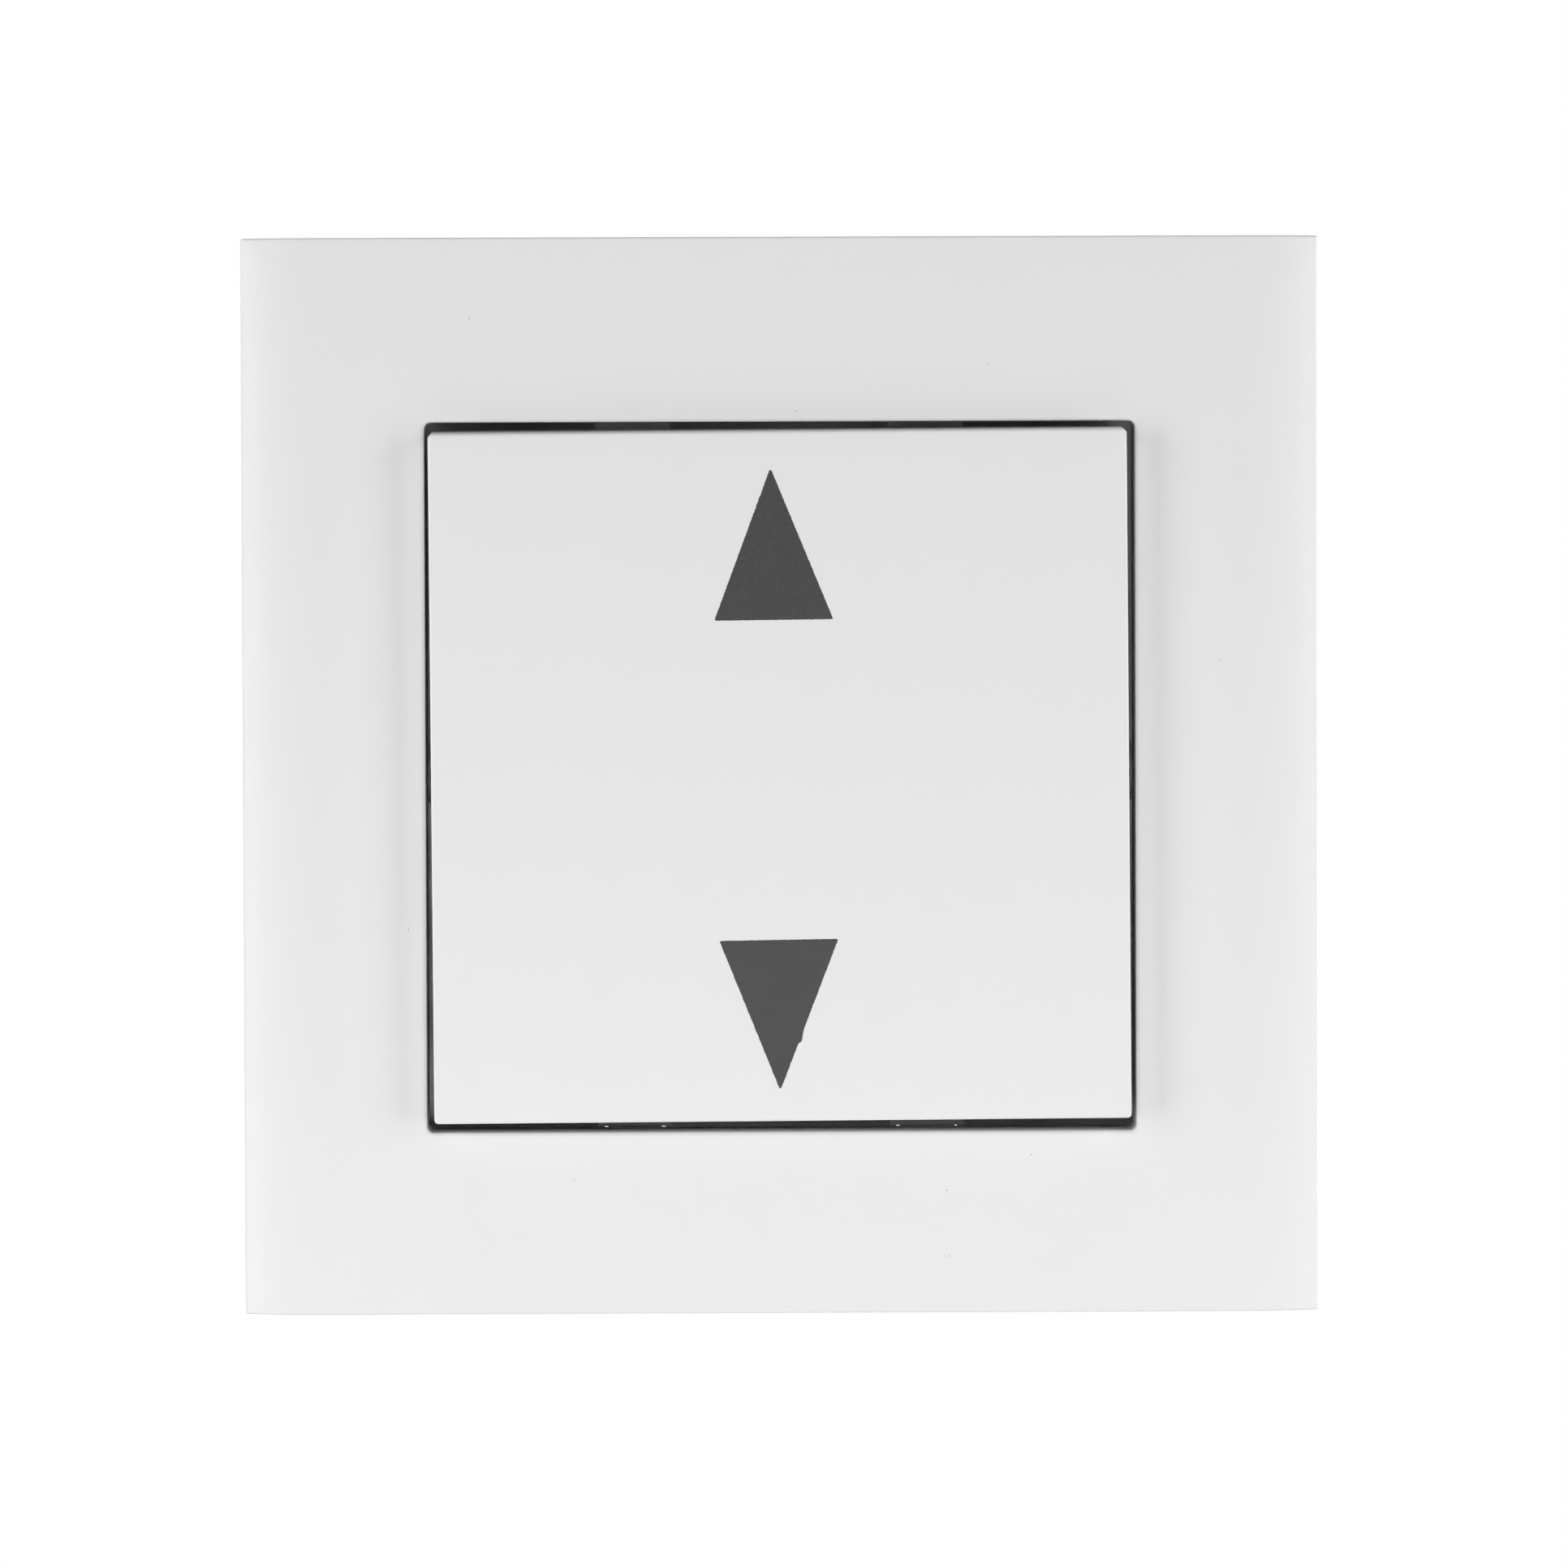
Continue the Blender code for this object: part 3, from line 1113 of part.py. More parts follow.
def clear_scene():
    for old in list(bpy.data.objects):
        bpy.data.objects.remove(old)


def main():
    clear_scene()
    cover_frame()
    support_ring()
    housing()
    housing_cover()
    cover_screws()
    spring_seat()

    tilts = axis_empty("rocker_axis", (0, -HINGE_OUT, 0))
    hang(rocker(), tilts)
    hang(rocker_carrier(), tilts)
    for name, side in (("up", 1), ("down", -1)):
        plunger(f"{name}_plunger", side * PLUNGER_Z)
        return_spring(f"{name}_return_spring", side * PLUNGER_Z)

    hang(contact_lever(), axis_empty("lever_axis", (0, LEVER_AXIS_IN, 0)))
    contact_busbars()
    common_busbar()
    wire_clamps()
    release_levers()
    claws()


if __name__ == "__main__":
    main()
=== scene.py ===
"""The looks of a one-gang roller shutter switch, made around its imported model.

Everything is in metres. The wall's surface is the plane y = 0, the room is towards -Y, and
seen from the room X points right and Z up. A size called out is a distance from the wall
towards the room, and a depth is measured into the wall box.
"""

import json
import math
from collections import namedtuple

import bmesh
import bpy
import numpy as np
from bpy.props import FloatProperty, FloatVectorProperty, IntProperty, PointerProperty
from mathutils import Matrix, Vector


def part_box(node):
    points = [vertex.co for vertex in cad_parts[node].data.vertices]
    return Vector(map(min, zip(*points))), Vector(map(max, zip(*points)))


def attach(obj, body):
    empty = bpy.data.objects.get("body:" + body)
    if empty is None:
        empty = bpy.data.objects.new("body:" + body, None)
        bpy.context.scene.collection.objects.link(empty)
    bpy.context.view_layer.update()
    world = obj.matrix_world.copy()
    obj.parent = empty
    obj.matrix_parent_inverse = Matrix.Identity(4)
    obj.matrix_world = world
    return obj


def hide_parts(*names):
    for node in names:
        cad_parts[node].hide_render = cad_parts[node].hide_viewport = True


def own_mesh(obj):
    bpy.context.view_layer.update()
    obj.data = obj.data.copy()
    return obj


bl_info = {
    "name": "Roller shutter switch",
    "version": (1, 0, 0),
    "blender": (4, 5, 0),
    "location": "3D View > Sidebar > Shutter switch",
    "description": "Builds the surfaces, finishes and stage of a roller shutter switch",
    "category": "Object",
}

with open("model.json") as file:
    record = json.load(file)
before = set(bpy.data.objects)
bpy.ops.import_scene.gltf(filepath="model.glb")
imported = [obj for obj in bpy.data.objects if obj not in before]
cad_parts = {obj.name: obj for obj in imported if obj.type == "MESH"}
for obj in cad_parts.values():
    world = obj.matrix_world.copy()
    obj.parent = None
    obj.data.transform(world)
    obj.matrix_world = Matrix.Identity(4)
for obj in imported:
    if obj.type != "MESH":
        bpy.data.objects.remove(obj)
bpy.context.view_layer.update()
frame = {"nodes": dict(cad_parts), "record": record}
FRAME_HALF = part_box("cover_frame")[1].x

MM = 0.001
MERGE = 1e-7  # metres within which two points of a new surface are one
SUNK = 0.05 * MM  # how far a form reaches into the one that it joins
BODY_OF = {n: body for body, nodes in frame["record"]["behaviour"]["bodies"].items() for n in nodes}


# Properties


def length(name, millimetres, about):
    """A length property whose default is given in millimetres."""
    return FloatProperty(
        name=name,
        description=about,
        default=millimetres * MM,
        subtype="DISTANCE",
        unit="LENGTH",
        precision=5,
    )


def position(name, millimetres, about):
    """A place in two or three axes, whose default is given in millimetres."""
    return FloatVectorProperty(
        name=name,
        description=about,
        default=[value * MM for value in millimetres],
        size=len(millimetres),
        subtype="XYZ_LENGTH",
        precision=5,
    )


def degrees(name, value, about):
    """An angle property whose default is given in degrees."""
    return FloatProperty(
        name=name, description=about, default=math.radians(value), subtype="ANGLE", unit="ROTATION"
    )


def share(name, value, about):
    """A plain number between 0 and 1."""
    return FloatProperty(name=name, description=about, default=value, min=0.0, max=1.0, precision=3)


def amount(name, value, about):
    """A plain number with no upper limit."""
    return FloatProperty(name=name, description=about, default=value, min=0.0, precision=4)


def colour(name, value, about):
    """A linear colour, as the shader takes it."""
    return FloatVectorProperty(
        name=name, description=about, default=value, size=3, subtype="COLOR", min=0.0, max=1.0
    )


class FrameSizes(bpy.types.PropertyGroup):
    """Sizes of the cover frame."""

    crown_out: length("Crown", 9.5, "How far the frame's front stands out from the wall")
    flat_half: length("Flat half width", 34.5, "From the middle to where the front rounds off")
    roll_off: length("Roll-off radius", 14, "Radius of the rounding towards the left and right edges")
    wall: length("Wall", 1.8, "Wall thickness of the moulding")
    edge_round: length("Edge rounding", 0.2, "Rounding of the front's outer edges")
    corner: length("Outer corner", 0.12, "Radius of the four outer corners")
    rim_round: length("Rim rounding", 0.15, "Rounding of the walls' back edges")
    lip_round: length("Lip rounding", 0.3, "Rounding of the opening's lip")
    opening: length("Opening", 52.8, "Width and height of the opening")
    opening_drop: length("Opening's drop", 0.08, "How far the opening sits below the frame's middle")
    opening_corner: length("Opening corner", 0.5, "Radius of the opening's corners")
    collar_wall: length("Collar wall", 1.2, "Wall thickness of the collar behind the opening")
    collar_out: length("Collar's back", 3.6, "How far out the collar's back edge lies")
    rib: length("Rib", 1.0, "Thickness of a rib")
    rib_place: length("Rib place", 20, "From the middle to a rib's middle")
    rib_out: length("Rib's back", 1.3, "How far out a rib's back edge lies")
    clip_place: length("Clip place", 11, "From the middle to a clip's middle")
    clip_width: length("Clip width", 4, "Width of a clip")
    clip_start: length("Clip hook's place", 0.3, "How deep a clip's hook starts")
    clip_end: length("Clip end", 1.7, "How deep a clip ends")
    clip_hook: length("Clip hook", 0.7, "How far a clip's hook reaches behind the ring")
    shoulder_out: length("Clip shoulder", 1.6, "How far out a clip's shoulder starts, over the ring")
    shoulder_reach: length("Shoulder reach", 0.7, "How far a clip's shoulder reaches inwards")
    shoulder_side: length("Shoulder's side", 0.8, "How far a clip's shoulder reaches sideways")


class RockerSizes(bpy.types.PropertyGroup):
    """Sizes of the rocker's cap."""

    size: length("Width", 51.66, "Width of the cap")
    height: length("Height", 50.98, "Height of the cap at its face")
    back_height: length("Back height", 51.78, "Height of the cap at the back edge of its walls")
    shift: length("Shift", -0.06, "How far the cap is seated off the middle, to the right")
    face_out: length("Face", 12.0, "How far out the face lies")
    back_out: length("Back edge", 6.2, "How far out the side walls end")
    face_wall: length("Face wall", 1.8, "Thickness of the face")
    wall: length("Side wall", 1.6, "Thickness of the side walls")
    edge_round: length("Edge rounding", 0.16, "Rounding between the face and the side walls")
    rim_round: length("Rim rounding", 0.12, "Rounding of the walls' back edges")
    fillet: length("Fillet", 0.4, "Rounding inside, between the face and the side walls")
    crown: length("Crown", 0.03, "How far the face falls away near its edges")
    crown_width: length("Crown width", 1.2, "Width of the strip in which the face falls away")
    corner: length("Corner", 0.32, "Radius of the four corners")
    twist: degrees("Twist", 0.3, "How crooked the cap is seated")
    rib: length("Rib", 0.9, "Thickness of the two stiffening ribs")
    rib_height: length("Rib height", 1.0, "Height of the two stiffening ribs")
    rib_place: length("Rib place", 20.63, "From the middle to a rib's middle")
    leg_x: length("Leg place across", 9.5, "From the middle to a leg's middle")
    leg_z: length("Leg place along", 14, "From the middle to a leg's inner face")
    leg_width: length("Leg width", 4, "Width of a leg")
    leg_thickness: length("Leg thickness", 1.2, "Thickness of a leg")
    leg_hook: length("Leg hook", 0.5, "How far a leg's hook stands out")
    leg_hook_out: length("Leg hook's place", 8.1, "How far out a hook's catching face lies")


class ArrowSizes(bpy.types.PropertyGroup):
    """Sizes of the printed arrows, in the rocker's own plane."""

    film: length("Film", 0.02, "Thickness of the print")
    corner: length("Corner", 0.1, "Radius of an arrow's corners")
    rag: length("Rag", 0.02, "How ragged the print's edge is")
    up_place: position("Up arrow", (-0.434, 11.615), "Middle of the up arrow's base")
    up_width: length("Up arrow's width", 8.807, "Width of the up arrow's base")
    up_height: length("Up arrow's height", 11.26, "From the up arrow's base to its tip")
    up_turn: degrees("Up arrow's turn", 0.28, "How crooked the up arrow is printed")
    up_lean: length("Up arrow's lean", -0.105, "How far the up arrow's tip is off its middle")
    down_place: position("Down arrow", (-0.262, -12.06), "Middle of the down arrow's base")
    down_width: length("Down arrow's width", 8.816, "Width of the down arrow's base")
    down_height: length("Down arrow's height", 11.18, "From the down arrow's base to its tip")
    down_turn: degrees("Down arrow's turn", 0.51, "How crooked the down arrow is printed")
    down_lean: length("Down arrow's lean", -0.087, "How far the down arrow's tip is off its middle")
    tooth: length("Tooth", 0.17, "How far the flaw in the down arrow's right edge stands out")


class InsertSizes(bpy.types.PropertyGroup):
    """Sizes of the small pieces behind the cover frame."""

    moulded_round: length("Moulded edges", 0.15, "Rounding of moulded edges")
    sheet_round: length("Sheet edges", 0.06, "Rounding of punched sheet edges")
    claw_head: length("Claw screw's head", 1.3, "How far out a claw screw's head ends")
    claw_shank: length("Claw screw", 1.5, "Radius of a claw screw's shank")
    claw_thread: length("Claw screw's thread", 0.28, "Depth of a claw screw's thread")
    claw_pitch: length("Claw screw's pitch", 0.5, "Pitch of a claw screw's thread")
    cover_head: length("Cover screw's head", 3.6, "How far out a cover screw's head ends")
    cover_shank: length("Cover screw", 1.0, "Radius of a cover screw's shank")
    cover_thread: length("Cover screw's thread", 0.15, "Depth of a cover screw's thread")
    cover_pitch: length("Cover screw's pitch", 0.8, "Pitch of a cover screw's thread")
    recess_width: share("Recess width", 0.27, "A cross recess's width, as a share of the head's radius")
    recess_reach: share("Recess reach", 0.6, "A cross recess's reach, as a share of the head's radius")
    clamp_keep: share("Pressed clamp", 0.78, "A wire clamp's depth when its lever is pushed, as a share")
    spring_turns: IntProperty(name="Spring turns", description="Turns of a return spring", default=5)
    spring_wire: length("Spring wire", 0.25, "Radius of a return spring's wire")
    spring_coil: length("Spring coil", 2.35, "Radius of a return spring's coil")


class Finishes(bpy.types.PropertyGroup):
    """Colours and roughness of the materials."""

    white: colour("White plastic", (0.83, 0.83, 0.83), "Cover frame and rocker")
    frame_roughness: share("Frame roughness", 0.42, "Roughness of the cover frame")
    rocker_roughness: share("Rocker roughness", 0.36, "Roughness of the rocker")
    mote: length("Mote", 0.05, "Radius of a mote of dust")
    mote_grey: colour("Dust", (0.42, 0.42, 0.42), "The motes")
    mote_roughness: share("Dust roughness", 0.9, "Roughness of the motes")
    # The print grey is the arrows' darkest tone. Over the print spread from the middle the print is made
    # paler towards the bottom.
    print_grey: colour("Print", (0.051, 0.051, 0.051), "The arrows, where the ink is thick")
    print_spread: length("Print spread", 14, "From the middle to where the ink is thin or thick")
    print_roughness: share("Print roughness", 0.55, "Roughness of the arrows")
    housing_grey: colour("Housing plastic", (0.56, 0.56, 0.54), "Housing, its cover and the carrier")
    housing_roughness: share("Housing roughness", 0.5, "Roughness of the housing's plastic")
    lever_orange: colour("Lever plastic", (0.78, 0.24, 0.03), "Plungers and release levers")
    lever_roughness: share("Lever roughness", 0.38, "Roughness of the levers' plastic")
    zinc: colour("Zinc plating", (0.62, 0.63, 0.65), "Ring, claws and screws")
    zinc_roughness: share("Zinc roughness", 0.42, "Roughness of the zinc plating")
    spring_grey: colour("Spring steel", (0.5, 0.5, 0.5), "Springs and wire clamps")
    spring_roughness: share("Spring roughness", 0.25, "Roughness of the spring steel")
    brass_yellow: colour("Brass", (0.78, 0.57, 0.25), "Busbars and contact lever")
    brass_roughness: share("Brass roughness", 0.32, "Roughness of the brass")
    floor_white: colour("Floor", (0.9, 0.9, 0.9), "Colour of the floor")
    floor_roughness: share("Floor roughness", 0.8, "Roughness of the floor")


class StageSettings(bpy.types.PropertyGroup):
    """The camera, the lights and the floor."""

    camera_place: position("Camera", (-4.783, -600, 17.57), "Where the camera stands")
    yaw: degrees("Yaw", 0.4873, "How far the camera is turned to the right")
    pitch: degrees("Pitch", -1.7622, "How far the camera looks up")
    roll: degrees("Roll", 0.1954, "How far the camera leans")
    lens: amount("Lens", 182.59, "Focal length in millimetres, on a 36 mm sensor")
    surround: amount("Surround", 0.008, "Brightness of the white surround as a light")
    left: amount("Left light", 0.317, "Strength of the light at the left")
    left_low: amount("Low left light", 0.175, "Strength of the grazing light at the left")
    right: amount("Right light", 0.276, "Strength of the light at the right")
    right_low: amount("Low right light", 0.208, "Strength of the grazing light at the right")
    above: amount("Upper light", 0.043, "Strength of the light above")
    above_low: amount("Low upper light", 0.1, "Strength of the grazing light above")
    below: amount("Lower light", 0.211, "Strength of the light below the camera")
    below_near: amount("Near lower light", 0.016, "Strength of the small light close below")
    behind_left: amount("Rear left light", 0.27, "Strength of the light behind, at the left")
    behind_right: amount("Rear right light", 0.27, "Strength of the light behind, at the right")
    floor_drop: length("Floor", 200, "How far below the middle the floor lies")
    floor_size: length("Floor size", 160, "Half the width of the floor")


class SwitchSettings(bpy.types.PropertyGroup):
    """All settings of the switch."""

    frame: PointerProperty(type=FrameSizes, name="Cover frame", description="Cover frame sizes")
    rocker: PointerProperty(type=RockerSizes, name="Rocker", description="Rocker sizes")
    arrows: PointerProperty(type=ArrowSizes, name="Arrows", description="Arrow sizes")
    insert: PointerProperty(type=InsertSizes, name="Insert", description="Insert sizes")
    finishes: PointerProperty(type=Finishes, name="Finishes", description="Colours and roughness")
    stage: PointerProperty(type=StageSettings, name="Stage", description="Camera, lights and floor")


def settings():
    return bpy.context.scene.shutter_switch


# Surfaces on grids

Form = namedtuple("Form", "points close_rows capped")


def form(points, close_rows=False, capped=False):
    """A grid of points (rows, columns, 3). Rows run along the shape and columns close round it."""
    return Form(np.asarray(points, float), close_rows, capped)


def grid_faces(rows, columns, close_rows, close_columns):
    """The corner numbers of each face between neighbouring rows and columns."""
    row = np.arange(rows if close_rows else rows - 1)[:, None]
    column = np.arange(columns if close_columns else columns - 1)[None, :]
    next_row, next_column = (row + 1) % rows, (column + 1) % columns
    corners = np.broadcast_arrays(
        row * columns + column,
        row * columns + next_column,
        next_row * columns + next_column,
        next_row * columns + column,
    )
    return np.stack(corners, axis=-1).reshape(-1, 4)


def mesh_of(name, forms):
    """One mesh of several closed surfaces, merged and with its faces turned outwards."""
    points, faces, count = [], [], 0
    for part in forms:
        rows, columns = part.points.shape[:2]
        quads = grid_faces(rows, columns, part.close_rows, True) + count
        faces += quads.tolist()
        if part.capped:
            ring = np.arange(columns) + count
            faces += [ring.tolist(), (ring + (rows - 1) * columns).tolist()]
        points.append(part.points.reshape(-1, 3))
        count += rows * columns
    mesh = bpy.data.meshes.new(name)
    mesh.from_pydata(np.concatenate(points).tolist(), [], faces)
    tidy(mesh)
    return mesh


def tidy(mesh, angle=30):
    """Merges doubled points, drops faces without area, turns faces outwards and shades smooth."""
    bm = bmesh.new()
    bm.from_mesh(mesh)
    bmesh.ops.remove_doubles(bm, verts=bm.verts, dist=MERGE)
    bmesh.ops.dissolve_degenerate(bm, edges=bm.edges, dist=MERGE)
    bmesh.ops.recalc_face_normals(bm, faces=bm.faces)
    bm.to_mesh(mesh)
    bm.free()
    mesh.shade_smooth()
    mesh.set_sharp_from_angle(angle=math.radians(angle))


def linked(name, data):
    """An object with the given data, shown in the scene."""
    made = bpy.data.objects.new(name, data)
    bpy.context.scene.collection.objects.link(made)
    return made


def piece(name, mesh, body, slot, *nodes, look=None):
    """Shows a mesh as a piece that rides on a body and stands for some nodes of the model.

    Its look is the finish that its slot is named after, where no other one is given.
    """
    made = linked(name, mesh)
    mesh.materials.clear()
    mesh.materials.append(finish(look or slot))
    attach(made, body)
    if nodes:
        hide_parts(*nodes)
    return made


SquarePath = namedtuple("SquarePath", "flat_x flat_z turn_x turn_z")


def square_path(per_side, per_corner):
    """Places round a square with round corners, closer together near the corners.

    A point is its flat place times the straight part's half length, plus its direction times
    the corner's radius. Along a side the flat place runs from -1 to 1 as 0.4 t + 0.6 sin(90 t)
    degrees and the direction stays, and round a corner the direction turns and the place stays.
    """
    t = np.linspace(-1, 1, per_side)
    flat = 0.4 * t + 0.6 * np.sin(np.pi * t / 2)
    angle = np.radians(np.linspace(0, 90, per_corner + 2))[1:-1]
    side = np.stack([np.ones_like(t), flat, np.ones_like(t), np.zeros_like(t)])
    corner = np.stack([np.ones_like(angle), np.ones_like(angle), np.cos(angle), np.sin(angle)])
    quarter = np.concatenate([side, corner], axis=1)
    quarters = [quarter]
    for _ in range(3):
        x, z, turn_x, turn_z = quarters[-1]
        quarters.append(np.stack([-z, x, -turn_z, turn_x]))
    return SquarePath(*np.concatenate(quarters, axis=1))


def run(start, end, steps):
    """Rows from start up to, and without, end. A row is (half width, out, corner, follow, radius)."""
    return np.linspace(start, end, steps, endpoint=False)


def turn(centre, radius, start, end, first, last, steps):
    """Rows round an arc in the plane of half width and out, with the other values in between."""
    angles = np.radians(np.linspace(start, end, steps, endpoint=False))
    rows = np.linspace(first, last, steps, endpoint=False)
    rows[:, 0] = centre[0] + radius * np.cos(angles)
    rows[:, 1] = centre[1] + radius * np.sin(angles)
    return rows


def square_surface(rows, path, flat_half=1.0):
    """A surface whose rows are rounded squares.

    Each row gives the square's half width, how far out it lies, its corner radius, how much of
    the roll-off it follows, and the roll-off's radius r. Beyond the flat half width the surface
    drops by r minus the square root of r squared minus the overshoot squared.
    """
    half, out, corner, follow, radius = (column[:, None] for column in np.asarray(rows, float).T)
    x = path.flat_x * (half - corner) + corner * path.turn_x
    z = path.flat_z * (half - corner) + corner * path.turn_z
    over = np.clip(np.abs(x) - flat_half, 0, None)
    drop = radius - np.sqrt(np.clip(radius**2 - over**2, 0, None))
    y = follow * drop - np.broadcast_to(out, x.shape)
    return np.stack([x, y, z], axis=-1)


def soft_box(low, high, radius=0.15 * MM, steps=3):
    """A box with round edges: each point of a small ball is pushed out to its nearest corner."""
    low, high = np.minimum(low, high), np.maximum(low, high)
    centre, half = (low + high) / 2, (high - low) / 2 - radius
    quarter = np.radians(np.linspace(0, 90, steps + 1))
    around = np.concatenate([quarter + n * np.pi / 2 for n in range(4)])
    push_x = np.repeat([1, -1, -1, 1], steps + 1) * half[0]
    push_z = np.repeat([1, 1, -1, -1], steps + 1) * half[2]
    rise = np.concatenate([quarter - np.pi / 2, quarter])
    push_y = np.repeat([-1, 1], steps + 1) * half[1]
    flat = np.cos(rise)[:, None]
    x = centre[0] + push_x + radius * flat * np.cos(around)
    z = centre[2] + push_z + radius * flat * np.sin(around)
    y = centre[1] + (push_y + radius * np.sin(rise))[:, None] + 0 * x
    return form(np.stack([x, y, z], axis=-1), capped=True)


def prism(outline, low, high):
    """An outline in Y and Z, carried straight from low to high along X."""
    outline = np.asarray(outline, float)
    return form(np.stack([np.insert(outline, 0, x, axis=1) for x in (low, high)]), capped=True)


def four_legs(outline, place, width):
    """Four legs with one outline, left and right at a place along X, and mirrored in Z."""
    forms = []
    for top in (-1, 1):
        for side in (-1, 1):
            low = side * place - width / 2
            forms.append(prism(outline * (1, top), low, low + width))
    return forms


# Cover frame


def frame_rows(s):
    """The frame's wall in section, from the collar's back round the lip, front and rim."""
    opening, outer, edge, rim = s.opening / 2, FRAME_HALF, s.edge_round, s.rim_round
    inner, collar, lip = outer - s.wall, opening + s.collar_wall, opening + s.lip_round
    top, ceiling, straight = s.crown_out - edge, s.crown_out - s.wall, s.crown_out - s.lip_round
    lip_corner, collar_corner = s.opening_corner + s.lip_round, s.opening_corner + s.collar_wall
    r, q = s.roll_off, s.roll_off - s.wall

    mouth = (opening, s.collar_out + rim, s.opening_corner, 0, r)
    lip_start = (opening, straight, s.opening_corner, 0, r)
    lip_end = (lip, s.crown_out, lip_corner, 0, r)
    front_end = (outer - edge, s.crown_out, s.corner, 1, r)
    side_start = (outer, top, s.corner, 1, r)
    side_end = (outer, rim, s.corner, 0, r)
    rim_start = (outer - rim, 0, s.corner, 0, r)
    rim_end = (inner + rim, 0, s.corner, 0, r)
    inside_start = (inner, rim, s.corner, 0, q)
    inside_end = (inner, ceiling - edge, s.corner, 1, q)
    ceiling_start = (inner - edge, ceiling, s.corner, 1, q)
    ceiling_end = (collar + edge, ceiling, collar_corner, 0, q)
    collar_start = (collar, ceiling - edge, collar_corner, 0, q)
    collar_end = (collar, s.collar_out + rim, collar_corner, 0, q)
    back = (collar - rim, s.collar_out, collar_corner, 0, q)
    back_end = (opening + rim, s.collar_out, s.opening_corner, 0, q)
    return np.concatenate(
        [
            run(mouth, lip_start, 6),
            turn((lip, straight), s.lip_round, 180, 90, lip_start, lip_end, 10),
            run(lip_end, front_end, 56),
            turn((outer - edge, top), edge, 90, 0, front_end, side_start, 7),
            run(side_start, side_end, 12),
            turn((outer - rim, rim), rim, 0, -90, side_end, rim_end, 4),
            run(rim_start, rim_end, 2),
            turn((inner + rim, rim), rim, -90, -180, rim_end, inside_start, 4),
            run(inside_start, inside_end, 8),
            turn((inner - edge, ceiling - edge), edge, 0, 90, inside_end, ceiling_start, 4),
            run(ceiling_start, ceiling_end, 20),
            turn((collar + edge, ceiling - edge), edge, 90, 180, ceiling_end, collar_start, 4),
            run(collar_start, collar_end, 4),
            turn((collar - rim, s.collar_out + rim), rim, 0, -90, collar_end, back, 4),
            run(back, back_end, 2),
            turn((opening + rim, s.collar_out + rim), rim, -90, -180, back_end, mouth, 4),
        ]
    )


def frame_ribs(s):
    """Ribs from the collar to the outer wall, level and upright, two on each side."""
    start = s.opening / 2 + s.collar_wall / 2
    end = FRAME_HALF - s.wall / 2
    front = s.crown_out - s.wall / 2 - s.lip_round
    forms = []
    for side in (-1, 1):
        for place in (-s.rib_place, s.rib_place):
            across, along = (side * start, side * end), (place - s.rib / 2, place + s.rib / 2)
            forms.append(soft_box((across[0], -front, along[0]), (across[1], -s.rib_out, along[1])))
            forms.append(soft_box((along[0], -front, across[0]), (along[1], -s.rib_out, across[1])))
    return forms


def frame_clips(s):
    """Four legs through the ring, hooked behind it, each with a shoulder over the ring."""
    inner, outer = s.opening / 2 + SUNK, s.opening / 2 + s.collar_wall - SUNK
    root = -s.collar_out - s.collar_wall
    outline = np.array(
        [
            (root, inner),
            (-s.collar_out, inner),
            (s.clip_end, inner + s.collar_wall / 8),
            (s.clip_end, outer),
            (s.clip_start, outer + s.clip_hook),
            (s.clip_start, outer),
            (root, outer),
        ]
    )
    forms = four_legs(outline, s.clip_place, s.clip_width)
    reach = s.clip_width / 2 + s.shoulder_side
    for top in (-1, 1):
        for middle in (-s.clip_place, s.clip_place):
            near = (middle - reach, -s.shoulder_out - s.collar_wall, top * (inner - s.shoulder_reach))
            far = (middle + reach, -s.shoulder_out, top * (inner + SUNK))
            forms.append(soft_box(near, far, SUNK))
    return forms


class SHUTTER_OT_cover_frame(bpy.types.Operator):
    """Make the cover frame: a moulded wall round the opening, with its ribs and clips"""

    bl_idname = "shutter.cover_frame"
    bl_label = "Cover frame"

    def execute(self, context):
        s = settings().frame
        path = square_path(per_side=110, per_corner=4)
        wall = square_surface(frame_rows(s), path, s.flat_half)
        reach = np.abs(wall[..., [0, 2]]).max(axis=-1)
        wall[..., 2] -= s.opening_drop * np.interp(reach, (s.flat_half, FRAME_HALF - s.wall), (1, 0))
        forms = [form(wall, close_rows=True)] + frame_ribs(s) + frame_clips(s)
        mesh = mesh_of("cover_frame_moulding", forms)
        piece("cover_frame_moulding", mesh, "insert", "frame_plastic", "cover_frame")
        return {"FINISHED"}


# Rocker


